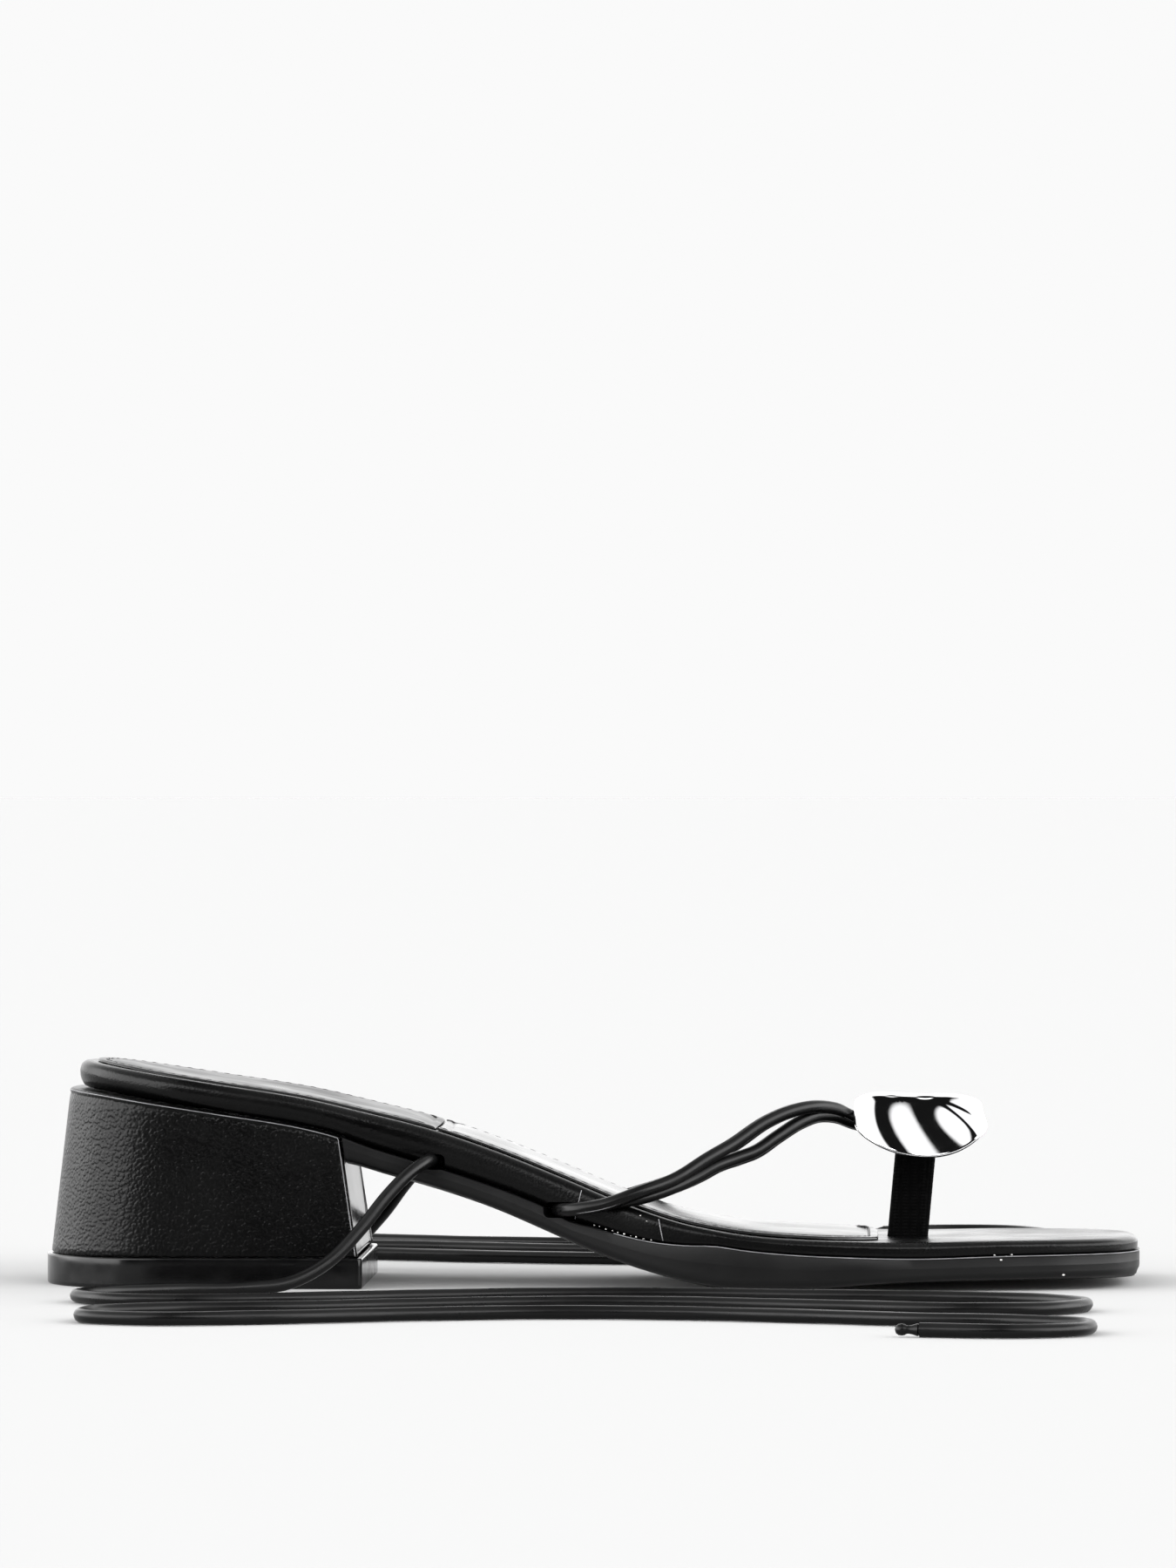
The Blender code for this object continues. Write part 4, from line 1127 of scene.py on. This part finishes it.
def make_sole(looks):
    levels = []
    for row in OUTSOLE_SIDE:
        outline = inset_foot(row["inset"] * OUTSOLE_EDGE_ROUND)
        levels.append((outline, between(outsole_top, outsole_under, row["depth"])))
    sole = stacked_rings("sole_unit", levels, outsole_top, outsole_under, 20)
    room = add_block("heel_room", (SOLE_LENGTH, 2 * BALL_WIDTH, SOLE_LENGTH), breast_matrix())
    cut(sole, [room] + slit_cutters())
    return dress(sole, looks["sole"], ("outsole",), 35)


def slit_height(along, side):
    """Height of a slit's middle: where the footbed meets the outsole."""
    edge = lateral_share if side < 0 else medial_share
    return footbed_under(place_along(along), edge(along) * BALL_WIDTH) + CORD_RADIUS / 2


def slit_matrix(along, side):
    """Frame at the sole's edge: X along the edge, Y across it, Z up."""
    edge = lateral_share if side < 0 else medial_share
    step = 0.01
    here = Vector((place_along(along), edge(along) * BALL_WIDTH, 0))
    ahead = Vector((place_along(along + step), edge(along + step) * BALL_WIDTH, 0))
    turn = math.atan2(ahead.y - here.y, ahead.x - here.x)
    here.z = slit_height(along, side)
    return Matrix.Translation(here) @ Matrix.Rotation(turn, 4, "Z")


def slit_cutters():
    cutters = []
    for along, length in ((SLIT_ALONG, SLIT_LENGTH), (TIE_SLIT_ALONG, TIE_SLIT_LENGTH)):
        for side in (-1, 1):
            size = (length - SLIT_SHORTER, 2 * SLIT_DEPTH, SLIT_HEIGHT - SLIT_LOWER)
            matrix = slit_matrix(along, side) @ Matrix.Translation((SLIT_SHIFT, 0, 0))
            cutters.append(add_block("slit", size, matrix, SLIT_ROUND))
    return cutters


def chain_between(outline, x):
    """Where the outline's outer and inner sides cross a place along the sole."""
    half = len(outline) // 2
    outer = outline[:half + 1]
    inner = [outline[0]] + outline[:half - 1:-1]
    result = []
    for chain in (outer, inner):
        xs = [p.x for p in chain]
        ys = [p.y for p in chain]
        result.append(float(np.interp(x, xs, ys)))
    return result


def distance_to(polygon, points):
    """Distance of each point from a closed polygon's edge."""
    start = np.array([(p.x, p.y) for p in polygon])
    end = np.roll(start, -1, axis=0)
    run = end - start
    squared = np.maximum((run ** 2).sum(1), 1e-18)
    best = np.full(len(points), 1e9)
    for s, r, q in zip(start, run, squared):
        t = np.clip(((points - s) @ r) / q, 0, 1)
        gap = np.hypot(*(points - s - t[:, None] * r).T)
        best = np.minimum(best, gap)
    return best


def sheet_on_footbed(name, polygon, rows, columns):
    """A thin padded sheet inside a plan outline; its edge is pulled down along the stitch line."""
    xs = [p.x for p in polygon]
    low, high = min(xs), max(xs)
    half = xs.index(high)
    outer = [(p.x, p.y) for p in polygon[:half + 1]]
    inner = [(p.x, p.y) for p in [polygon[0]] + polygon[:half - 1:-1]]
    grid = []
    for i in range(rows + 1):
        x = low + (high - low) * (1 - math.cos(math.pi * i / rows)) / 2
        left = float(np.interp(x, *zip(*outer)))
        right = float(np.interp(x, *zip(*inner)))
        for k in range(columns + 1):
            share = (1 - math.cos(math.pi * k / columns)) / 2
            grid.append((x, left + (right - left) * share))
    gaps = distance_to(polygon, np.array(grid))
    mesh = bmesh.new()
    tops, unders = [], []
    for (x, y), gap in zip(grid, gaps):
        base = sock_under(x, y)
        tops.append(mesh.verts.new((x, y, base + sock_rise(gap / MM) * MM)))
        unders.append(mesh.verts.new((x, y, base)))
    width = columns + 1
    for i in range(rows):
        for k in range(columns):
            a, b = i * width + k, (i + 1) * width + k
            mesh.faces.new((tops[a], tops[a + 1], tops[b + 1], tops[b]))
            mesh.faces.new((unders[a], unders[b], unders[b + 1], unders[a + 1]))
    rim = list(range(width))
    rim += [i * width + columns for i in range(1, rows + 1)]
    rim += [rows * width + k for k in range(columns - 1, -1, -1)]
    rim += [i * width for i in range(rows - 1, 0, -1)]
    for a, b in zip(rim, rim[1:] + rim[:1]):
        mesh.faces.new((tops[a], unders[a], unders[b], tops[b]))
    bmesh.ops.remove_doubles(mesh, verts=mesh.verts, dist=MERGE_DISTANCE)
    return make_object(name, mesh)


def heel_sock_outline():
    """Plan of the heel sock: the inset sole outline, cut off at the cross seam."""
    seam = place_along(SOCK_SEAM_ALONG) - CLEARANCE / 2
    edge = inset_foot(SOCK_MARGIN)
    left, right = chain_between(edge, seam)
    half = len(edge) // 2
    outer = [p for p in edge[:half] if p.x < seam - 0.2 * MM]
    inner = [p for p in edge[half:] if p.x < seam - 0.2 * MM]
    return outer + [Vector((seam, left)), Vector((seam, right))] + inner


def lining_outline():
    """Plan of the sock lining: from the cross seam to a rounded end behind the post."""
    seam = place_along(SOCK_SEAM_ALONG) + CLEARANCE / 2
    end = place_along(SOCK_END_ALONG)
    edge = inset_foot(SOCK_MARGIN)
    width = (medial_share(SOCK_END_ALONG) - lateral_share(SOCK_END_ALONG)) * BALL_WIDTH
    middle = (medial_share(SOCK_END_ALONG) + lateral_share(SOCK_END_ALONG)) * BALL_WIDTH / 2
    half = width / 2 - SOCK_END_NARROWING
    corner = SOCK_END_ROUND
    outer, inner = [], []
    steps = 90
    for i in range(steps + 1):
        x = seam + (end - seam) * math.sin(math.pi / 2 * i / steps)
        left, right = chain_between(edge, x)
        taper = (end - x) / (end - seam) * (BALL_WIDTH - half)
        over = max(x - (end - corner), 0.0)
        rounding = corner - math.sqrt(max(corner ** 2 - over ** 2, 0.0))
        outer.append(Vector((x, max(left, middle - half - taper) + rounding)))
        inner.append(Vector((x, min(right, middle + half + taper) - rounding)))
    return outer + inner[::-1]


def stitches(name, path, look):
    """A row of short threads along a path of points on the surface."""
    lengths = path_lengths(path)
    count = int(lengths[-1] / STITCH_PITCH)
    spots = resample(path, count * 2)
    mesh = bmesh.new()
    for i in range(count):
        middle = spots[2 * i + 1]
        ahead = (spots[2 * i + 2] - spots[2 * i]).normalized()
        turn = ahead.to_track_quat("X", "Z").to_matrix().to_4x4()
        lean = Matrix.Rotation(math.radians(STITCH_LEAN), 4, "Z")
        matrix = Matrix.Translation(middle) @ turn @ lean
        made = bmesh.ops.create_uvsphere(mesh, u_segments=8, v_segments=6, radius=1.0)
        for vert in made["verts"]:
            along, across, up = vert.co.z, vert.co.x, vert.co.y
            sized = Vector((along * STITCH_LENGTH / 2, across * STITCH_WIDTH / 2, up * STITCH_WIDTH / 2))
            vert.co = matrix @ sized
    return dress(make_object(name, mesh), look, (), 180)


def stitch_path(chain, inward):
    """Points on a sock's stitch groove, drawn in from its edge."""
    path = []
    for i, point in enumerate(chain):
        tangent = (chain[min(i + 1, len(chain) - 1)] - chain[max(i - 1, 0)]).normalized()
        spot = point + Vector((-tangent.y, tangent.x)) * inward
        rise = sock_rise(STITCH_INSET / MM) * MM
        height = sock_under(spot.x, spot.y) + rise + STITCH_WIDTH * STITCH_RISE
        path.append(Vector((spot.x, spot.y, height)))
    return path


def make_socks(looks):
    heel_plan = heel_sock_outline()
    heel = sheet_on_footbed("heel_sock_pad", heel_plan, *HEEL_SOCK_GRID)
    dress(heel, looks["seat"], ("heel_sock",), 50)
    lining_plan = lining_outline()
    lining = sheet_on_footbed("sock_lining_pad", lining_plan, *LINING_GRID)
    dress(lining, looks["sock"], ("sock_lining",), 50)

    seam = max(p.x for p in heel_plan) - 1.0 * MM
    chain = [p for p in heel_plan[::-1] if p.x < seam]
    start = max(range(len(chain)), key=lambda i: (chain[i] - chain[i - 1]).length)
    chain = chain[start:] + chain[:start]
    for name, plan, count, inward in (
            ("heel_sock_stitches", chain, HEEL_STITCH_POINTS, -STITCH_INSET),
            ("sock_lining_stitches", lining_plan, LINING_STITCH_POINTS, STITCH_INSET)):
        stitches(name, stitch_path(resample(plan, count), inward), looks["thread"])


def heel_top_x():
    back = SOLE_BACK_X + HEEL_TOP_SET_IN
    return back, back + HEEL_TOP_LENGTH


def heel_base_x():
    back = HEEL_BACK_X + TOP_PIECE_PROUD
    return back, back + HEEL_BASE_LENGTH


def breast_matrix():
    """Places a large box whose front side lies just ahead of the heel's front face."""
    top_x = heel_top_x()[1]
    base_x = heel_base_x()[1]
    top_z = outsole_top(top_x, 0)
    lean = math.atan2(base_x - top_x, top_z - TOP_PIECE_HEIGHT)
    foot = Vector((base_x + CLEARANCE / math.cos(lean), 0, TOP_PIECE_HEIGHT))
    turn = Matrix.Rotation(-lean, 4, "Y")
    return Matrix.Translation(foot) @ turn @ Matrix.Translation((-SOLE_LENGTH / 2, 0, 0))


def heel_outline(back, front, width, inset=0.0, bead=0.0):
    """D-shaped plan of the heel; a bead along the front corners stands off a recessed front face."""
    half = width / 2 - inset
    rear = back + inset
    face = front - inset
    reach = min(width / 2, (front - back) * HEEL_BACK_SHARE)
    centre = (lateral_share(HEEL_CENTRE_ALONG) + medial_share(HEEL_CENTRE_ALONG)) * BALL_WIDTH / 2
    side = []
    turns = 56
    for i in range(turns + 1):
        angle = math.pi / 2 * i / turns
        x = rear + reach * (1 - math.cos(angle) ** (2 / HEEL_BACK_POWER))
        side.append((x, half * math.sin(angle) ** (2 / HEEL_BACK_POWER)))
    straight = 16
    for i in range(1, straight):
        side.append((rear + reach + (face - HEEL_GROOVE[0] - rear - reach) * i / straight, half))
    side.append((face - HEEL_GROOVE[0], half))
    side.append((face - HEEL_GROOVE[1], half - bead * 0.5))
    side.append((face - HEEL_GROOVE[2], half))
    corner = HEEL_CORNER_ROUND
    for i in range(9):
        angle = math.pi / 2 * i / 8
        side.append((face - corner * (1 - math.sin(angle)), half - corner * (1 - math.cos(angle))))
    side.append((face - bead * 0.3, half - corner - HEEL_BEAD_END))
    flat = half - corner - HEEL_FACE_EDGE
    for i in range(9):
        side.append((face - bead * 2.0, flat * (1 - i / 8)))
    outer = [Vector((x, centre - y)) for x, y in side]
    inner = [Vector((x, centre + y)) for x, y in side[1:-1]]
    return outer + inner[::-1]


def heel_plans(inset, bead=0.0):
    """The heel's plans at its top and at its base."""
    top = heel_outline(*heel_top_x(), HEEL_TOP_WIDTH, inset, bead)
    return top, heel_outline(*heel_base_x(), HEEL_BASE_WIDTH, inset, bead)


# Profile of the heel cover near its top edge: height below the edge and inset, in millimetres
COVER_EDGE = (
    (0.00, 1.60),
    (0.00, 0.70),
    (0.10, 0.28),
    (0.30, 0.02),
    (0.55, -0.10),
    (0.85, -0.06),
    (1.10, 0.10),
    (1.35, 0.14),
    (1.70, 0.02),
)

# Its profile near the base: share of the way down and inset, in millimetres
COVER_FOOT = (
    (0.996, 0.02),
    (1.0, 0.12),
)


def make_heel(looks):
    """The covered block: a folded bead at its top edge and at its front corners."""
    base_z = TOP_PIECE_HEIGHT + CLEARANCE
    full = SEAT_HEIGHT - FOOTBED_THICKNESS - base_z

    def base_height(x, y):
        return base_z

    rows = [(depth * MM / full, inset * MM) for depth, inset in COVER_EDGE]
    count = 26
    rows += [(rows[-1][0] + (1 - rows[-1][0]) * i / count, 0.0) for i in range(1, count)]
    rows += [(share, inset * MM) for share, inset in COVER_FOOT]
    levels = []
    for share, inset in rows:
        outline = [a.lerp(b, share) for a, b in zip(*heel_plans(inset, HEEL_BEAD))]
        levels.append((outline, between(outsole_top, base_height, share)))
    heel = stacked_rings("heel_cover", levels, outsole_top, base_height, 12)
    dress(heel, (looks["grained"], looks["breast"]), ("heel_block",), 50)
    for face in heel.data.polygons:
        face.material_index = 1 if face.normal.x > BREAST_FACING else 0
    return heel


# Section of the cap's side: inset and height in millimetres
CAP_SIDE = (
    (1.2, 7.00),
    (0.42, 7.00),
    (0.16, 6.92),
    (0.03, 6.74),
    (0.0, 6.50),
    (0.0, 5.00),
    (0.0, 3.00),
    (0.0, 1.00),
    (0.0, 0.50),
    (0.04, 0.26),
    (0.18, 0.08),
    (0.46, 0.0),
)


def make_cap(looks):
    """The hard cap under the heel."""
    back, front = heel_base_x()
    levels = []
    for inset, height in CAP_SIDE:
        width = HEEL_BASE_WIDTH + 2 * TOP_PIECE_PROUD
        outline = heel_outline(back - TOP_PIECE_PROUD, front + TOP_PIECE_PROUD, width, inset * MM)
        levels.append((outline, lambda x, y, height=height * MM: height))
    cap = stacked_rings("heel_cap", levels, levels[0][1], levels[-1][1], 12)
    return dress(cap, looks["cap"], ("heel_top_piece",), 50)


def post_top():
    return DISC_TOP - DISC_THICKNESS - KNOT_HEADROOM - KNOT_HEIGHT - CLEARANCE


def post_foot():
    return outsole_top(place_along(POST_ALONG), POST_OFFSET) + CLEARANCE


def post_top_centre():
    return Vector((place_along(POST_ALONG) + POST_LEAN, POST_OFFSET, post_top()))


def signed_power(value, power):
    return math.copysign(abs(value) ** power, value)


def post_outline(width, thickness, ribs=0.0):
    """Flat oval section of the post, with fine ribs along it."""
    power = 2 / POST_POWER
    count = 160
    outline = []
    for i in range(count):
        angle = 2 * math.pi * i / count + math.pi
        x = signed_power(math.cos(angle), power) * width / 2
        rib = 0.0
        if abs(x) < width * POST_RIB_SPREAD:
            rib = ribs * (0.5 + 0.5 * math.cos(2 * math.pi * x / POST_RIB_PITCH))
        y = signed_power(math.sin(angle), power) * (thickness / 2 - rib)
        outline.append(Vector((x, y)))
    return outline


def post_solid(name, grow, low, high, ribs=0.0, steps=24):
    section = post_outline(POST_WIDTH + 2 * grow, POST_THICKNESS + 2 * grow, ribs)
    foot = Vector((place_along(POST_ALONG), POST_OFFSET))
    levels = []
    for i in range(steps + 1):
        height = high + (low - high) * i / steps
        lean = POST_LEAN * (height - post_foot()) / (post_top() - post_foot())
        levels.append(([p + foot + Vector((lean, 0)) for p in section], lambda x, y, height=height: height))
    return stacked_rings(name, levels, levels[0][1], levels[-1][1], 2)


def post_slot():
    low = post_foot() - POST_SLOT_OVERRUN
    high = BALL_HEIGHT + POST_SLOT_OVERRUN
    return post_solid("post_slot", POST_SLOT_ROOM, low, high, steps=1)


def make_post(looks):
    post = post_solid("post_strip", 0.0, post_foot(), post_top(), ribs=POST_RIB_DEPTH)
    return dress(post, looks["post"], ("toe_post",), 60)


def strap_path(rows, side, count):
    """Smooth path of one cord of a toe strap on one side."""
    start = place_along(SLIT_ALONG)
    reach = place_along(STRAP_END_ALONG) - start
    base = slit_height(SLIT_ALONG, side)
    column = "lateral" if side < 0 else "medial"
    points = []
    for row in rows:
        drop = medial_drop(row["along"]) * CORD_DIAMETER if side > 0 else 0.0
        points.append(Vector((
            start + row["along"] * reach,
            row[column] * BALL_WIDTH / 2,
            base + row["rise"] * (STRAP_CREST - base) - drop,
        )))
    return resample(smooth_path(points, 8), count)


def make_straps(looks):
    """The four cords of the upper and the wraps that join them over the post."""
    for side_name, side in (("outer", -1), ("inner", 1)):
        for row_name, rows in (("upper", OVER_CORD), ("lower", UNDER_CORD)):
            path = strap_path(rows, side, STRAP_POINTS)
            name = side_name + "_" + row_name
            thing = tube("strap_" + name, path, CORD_RADIUS, 24, twist=STRAP_TWIST, groove=STRAP_GROOVE)
            held = ("toe_straps",) if name == "outer_upper" else ()
            dress(thing, looks["cord"], held, 60)
            # A pale hairline on each cord's lower side towards -Y: a real seam, its paleness a painted
            # highlight
            shift = Vector(STRAP_SEAM_SIDE) * (CORD_RADIUS - STRAP_SEAM_SINK)
            seam = [p + shift for p in path[STRAP_SEAM_START:STRAP_SEAM_END]]
            hairline("strap_seam_" + name, seam, STRAP_SEAM_RADIUS, looks["edge"])
    centre = post_top_centre()
    middle = Vector((centre.x, centre.y, post_top() + CLEARANCE + KNOT_HEIGHT / 2))
    core = add_block("knot_core", KNOT_CORE, Matrix.Translation(middle), KNOT_CORE_ROUND, 4)
    dress(core, looks["cord"], (), 60)
    for number in range(3):
        path = []
        for i in range(65):
            angle = 2 * math.pi * i / 64
            x = (number - 1) * KNOT_WRAP_PITCH + KNOT_WRAP_LEAN * math.sin(angle)
            y = signed_power(math.cos(angle), KNOT_WRAP_POWER) * (KNOT_WIDTH / 2 - KNOT_WRAP_SET_IN)
            z = signed_power(math.sin(angle), KNOT_WRAP_POWER) * (KNOT_HEIGHT / 2 - KNOT_WRAP_SET_IN)
            path.append(middle + Vector((x, y, z)))
        wrap = tube("knot_wrap_" + str(number + 1), path, KNOT_WRAP_RADIUS, 16)
        dress(wrap, looks["cord"], (), 60)


def disc_rim(count):
    """The ornament's plan outline in shares of its half length and half width."""
    quarter = []
    fine = 600
    for i in range(fine + 1):
        turn = math.pi / 2 * (i / fine) ** 3
        v = math.sin(turn) ** (2 / DISC_POWER)
        bulge = DISC_WAIST + (DISC_BULGE - DISC_WAIST) * ramp(v, 0.25, 0.80)
        quarter.append((math.cos(turn) * bulge, v))
    loop = [Vector((u, v)) for u, v in quarter]
    loop += [Vector((-u, v)) for u, v in quarter[-2::-1]]
    loop += [Vector((-u, -v)) for u, v in quarter[1:]]
    loop += [Vector((u, -v)) for u, v in quarter[-2::-1]]
    return resample(loop, count)[:-1]


def disc_base(u, v):
    """A point of the ornament's dome."""
    centre = post_top_centre()
    height = DISC_TOP - DISC_FALL_ALONG * abs(u) ** DISC_FALL_POWER
    height -= DISC_FALL_ACROSS * abs(v) ** DISC_ACROSS_POWER
    lean = DISC_LEAN * abs(v) ** 3
    x = centre.x + DISC_FORWARD + (u + lean) * DISC_LENGTH / 2
    y = centre.y + v * DISC_WIDTH / 2
    return Vector((x, y, height))


def bend(v, high, middle, low):
    """A value that runs smoothly from the crest through the middle to the rim."""
    t = min(max((v - WAVE_BEND_START) / (1 - WAVE_BEND_START), 0.0), 1.0)
    return high * (1 - t) * (1 - 2 * t) + middle * 4 * t * (1 - t) + low * t * (2 * t - 1)


def wave_table():
    """Heights of the waves over a grid of places along and across, from their slopes."""
    us = np.linspace(-WAVE_GRID_LENGTH, WAVE_GRID_LENGTH, WAVE_COLUMNS)
    vs = np.linspace(0.0, WAVE_GRID_DEPTH, WAVE_ROWS)
    heights = []
    for v in vs:
        slope = -np.ones_like(us)
        for row in WAVES:
            place = bend(v, row["high"], row["middle"], row["low"])
            wide = bend(v, row["wide_high"], row["wide_middle"], row["wide_low"])
            slope = slope * np.tanh((us - place) / wide)
        run = np.cumsum(slope) * (us[1] - us[0]) * WAVE_SLOPE * DISC_LENGTH / 2
        run = run - run.mean()
        heights.append(run * (WAVE_CREST_SHARE + (1 - WAVE_CREST_SHARE) * ramp(v, 0.15, 0.60)))
    return us, vs, np.array(heights)


def wave_height(waves, u, v):
    us, vs, heights = waves
    row = min(abs(v) / (vs[1] - vs[0]), len(vs) - 1.001)
    low = int(row)
    part = row - low
    lift = np.interp(u, us, heights[low]) * (1 - part) + np.interp(u, us, heights[low + 1]) * part
    for dent in DENTS:
        along = (u - dent["along"]) * DISC_LENGTH / 2 / (dent["length"] * MM)
        across = (v - dent["across"]) * DISC_WIDTH / 2 / (dent["width"] * MM)
        lift -= dent["depth"] * MM * math.exp(-along * along - across * across)
    return float(lift)


def make_disc(looks):
    """The polished wavy disc with a rounded rim."""
    waves = wave_table()
    rim = disc_rim(DISC_SPOKES)
    step = 0.002
    rings = []
    for j in range(1, DISC_RINGS + 1):
        share = 1 - (1 - j / DISC_RINGS) ** DISC_RING_POWER
        ring = []
        for spot in rim:
            u, v = spot.x * share, spot.y * share
            along = disc_base(u + step, v) - disc_base(u - step, v)
            across = disc_base(u, v + step) - disc_base(u, v - step)
            normal = along.cross(across).normalized()
            ring.append((disc_base(u, v) + normal * wave_height(waves, u, v), normal))
        rings.append(ring)
    mesh = bmesh.new()
    tops = [[mesh.verts.new(p) for p, n in ring] for ring in rings]
    unders = [[mesh.verts.new(p - n * DISC_THICKNESS) for p, n in ring] for ring in rings]
    edge = rings[-1]
    centre = sum((p for p, n in edge), Vector()) / len(edge)
    bands = [tops[-1]]
    for j in range(1, 6):
        turn = math.pi * j / 6
        band = []
        for i, (point, normal) in enumerate(edge):
            tangent = edge[(i + 1) % len(edge)][0] - edge[i - 1][0]
            outward = normal.cross(tangent).normalized()
            if outward.dot(point - centre) < 0:
                outward = -outward
            middle = point - normal * DISC_THICKNESS / 2
            reach = DISC_THICKNESS / 2
            around = normal * math.cos(turn) + outward * math.sin(turn)
            band.append(mesh.verts.new(middle + around * reach))
        bands.append(band)
    bands.append(unders[-1])
    for rows in (tops, bands, unders):
        for inner, outer in zip(rows, rows[1:]):
            bridge(mesh, inner, outer)
    mesh.faces.new(tops[0])
    mesh.faces.new(unders[0])
    disc = make_object("ornament_shell", mesh)
    return dress(disc, looks["metal"], ("ornament_disc",), 180)


def hairline(name, path, radius, look):
    """A very thin raised line along an edge or a seam; in the pale edge material it is a painted highlight.
    """
    return dress(tube(name, path, radius, 8), look, (), 180)


def side_point(x, side, share, out=0.05 * MM):
    """A point on the footbed's rim at a place along, part of the way down its thickness."""
    section = section_of(FOOTBED_RIM, RIM_STEPS)
    inset = float(np.interp(share, [d for _, d in section], [i for i, _ in section]))
    edge = (lateral_share if side < 0 else medial_share)(share_along(x)) * BALL_WIDTH
    y = edge - side * (rim_inset(x, inset, share) - out)
    return Vector((x, y, between(edge_height, footbed_under, share)(x, y)))


def make_lines(looks):
    """Pale hairlines that paint the highlights of edges and seams, and specks of glue, made pale so that
    they paint glints too.
    """
    # A pale hairline along the cover's top edge and down its front corners: a painted highlight
    top, base = heel_plans(-HEEL_LINE_OUT)
    half = len(top) // 2
    corner = max(range(half), key=lambda i: top[i].x - top[i].y * 2)
    loop = list(range(corner, -1, -1)) + list(range(len(top) - 1, len(top) - 1 - corner, -1))
    path = []
    for i in loop:
        path.append(Vector((top[i].x, top[i].y, outsole_top(top[i].x, top[i].y) - HEEL_LINE_DROP)))
    for index, place in ((corner, 0), (len(top) - corner, len(path))):
        foot = Vector((base[index].x, base[index].y, TOP_PIECE_HEIGHT + HEEL_LINE_FOOT))
        path.insert(place, foot)
    hairline("heel_edge_line", resample(path, 420), EDGE_LINE_RADIUS, looks["edge"])

    # A pale hairline along the sole's top edge from the waist round the toe: a painted highlight
    rim = [p - n * SOLE_LINE_OUT for p, n in zip(FOOT, FOOT_NORMALS)]
    half = len(rim) // 2
    start = min(range(half), key=lambda i: abs(share_along(rim[i].x) - SOLE_LINE_START))
    end = len(rim) - start
    path = [Vector((p.x, p.y, outsole_top(p.x, p.y) + SOLE_LINE_OUT)) for p in rim[start:end]]
    hairline("sole_edge_line", path, EDGE_LINE_RADIUS, looks["edge"])

    # The wrap's seams as pale hairlines: real seams, their paleness a painted highlight
    for number, (high, low) in enumerate(WRAP_SEAMS):
        path = []
        for i in range(WRAP_SEAM_STEPS + 1):
            x = place_along(high + (low - high) * i / WRAP_SEAM_STEPS)
            path.append(side_point(x, -1, WRAP_SEAM_START + WRAP_SEAM_REACH * i / WRAP_SEAM_STEPS))
        hairline("wrap_seam_" + str(number + 1), path, WRAP_SEAM_RADIUS, looks["edge"])

    # Specks of pale glue on the outer rim: real glue with painted glints
    mesh = bmesh.new()
    for row in SPECKS:
        x = place_along(row["along"])
        spot = side_point(x, -1, min(row["down"], 1.0), 0.06 * MM)
        if row["down"] > 1.0:
            lower = spot.z - (row["down"] - 1) * SPECK_FALL
            spot = Vector((x, lateral_share(row["along"]) * BALL_WIDTH, lower))
        made = bmesh.ops.create_icosphere(mesh, subdivisions=2, radius=row["size"] * MM)
        for vert in made["verts"]:
            vert.co = Vector((vert.co.x * SPECK_STRETCH[0], vert.co.y * SPECK_STRETCH[1], vert.co.z)) + spot
    dress(make_object("glue_specks", mesh), looks["glue"], (), 180)

    path = []
    for i in range(THREAD_KNOT_POINTS):
        turn = 2 * math.pi * i / THREAD_KNOT_TURN
        drift = THREAD_KNOT_DRIFT * i / THREAD_KNOT_TURN
        x = place_along(THREAD_KNOT_ALONG) + THREAD_KNOT_LOOP * math.cos(turn) + drift
        y = THREAD_KNOT_ACROSS + THREAD_KNOT_LOOP * math.sin(turn)
        rise = THREAD_KNOT_RISE + THREAD_KNOT_WAVE * math.sin(turn * 0.7)
        path.append(Vector((x, y, sock_under(x, y) + rise * MM)))
    hairline("thread_knot", path, THREAD_KNOT_RADIUS, looks["thread"])


def tie_line(route):
    points = [Vector((*point, TIE_LIE)[:3]) * MM for point in route]
    return resample(smooth_path(points, 10), 520)


# The tip in turn: shares of its radius and of its length, and whether it is cord or metal
TIP_PROFILE = (
    (0.80, 0.000, 0),
    (1.02, 0.024, 0),
    (0.96, 0.120, 0),
    (0.74, 0.300, 0),
    (0.66, 0.460, 0),
    (0.72, 0.520, 1),
    (0.90, 0.600, 1),
    (0.98, 0.720, 1),
    (0.90, 0.860, 1),
    (0.62, 0.960, 1),
    (0.25, 1.000, 1),
)


def make_ties(looks):
    """The two free ankle ties, each one length of cord with a small metal tip."""
    profile = [(wide * TIP_DIAMETER / 2, along * TIP_LENGTH, kind) for wide, along, kind in TIP_PROFILE]
    for name, route in (("tie_lateral", TIE_ROUTE_LATERAL), ("tie_medial", TIE_ROUTE_MEDIAL)):
        path = tie_line(route)
        radius = TIE_DIAMETER / 2
        thing = tube(name + "_cord", path, radius, 16, round_ends=False, twist=TIE_TWIST, groove=TIE_GROOVE)
        heading = (path[-1] - path[-2]).normalized()
        tip = lathe(name + "_tip", profile, path[-1] + heading * CLEARANCE / 2, heading)
        dress(thing, looks["cord"], (name,), 60)
        dress(tip, (looks["cord"], looks["metal"]), (name.replace("tie", "tie_tip"),), 60)


def build():
    make_camera()
    looks = make_looks()
    make_ties(looks)
    make_floor()
    make_studio()
    make_wrap(looks)
    make_sole(looks)
    make_socks(looks)
    make_heel(looks)
    make_cap(looks)
    make_post(looks)
    make_straps(looks)
    make_disc(looks)
    make_lines(looks)


build()
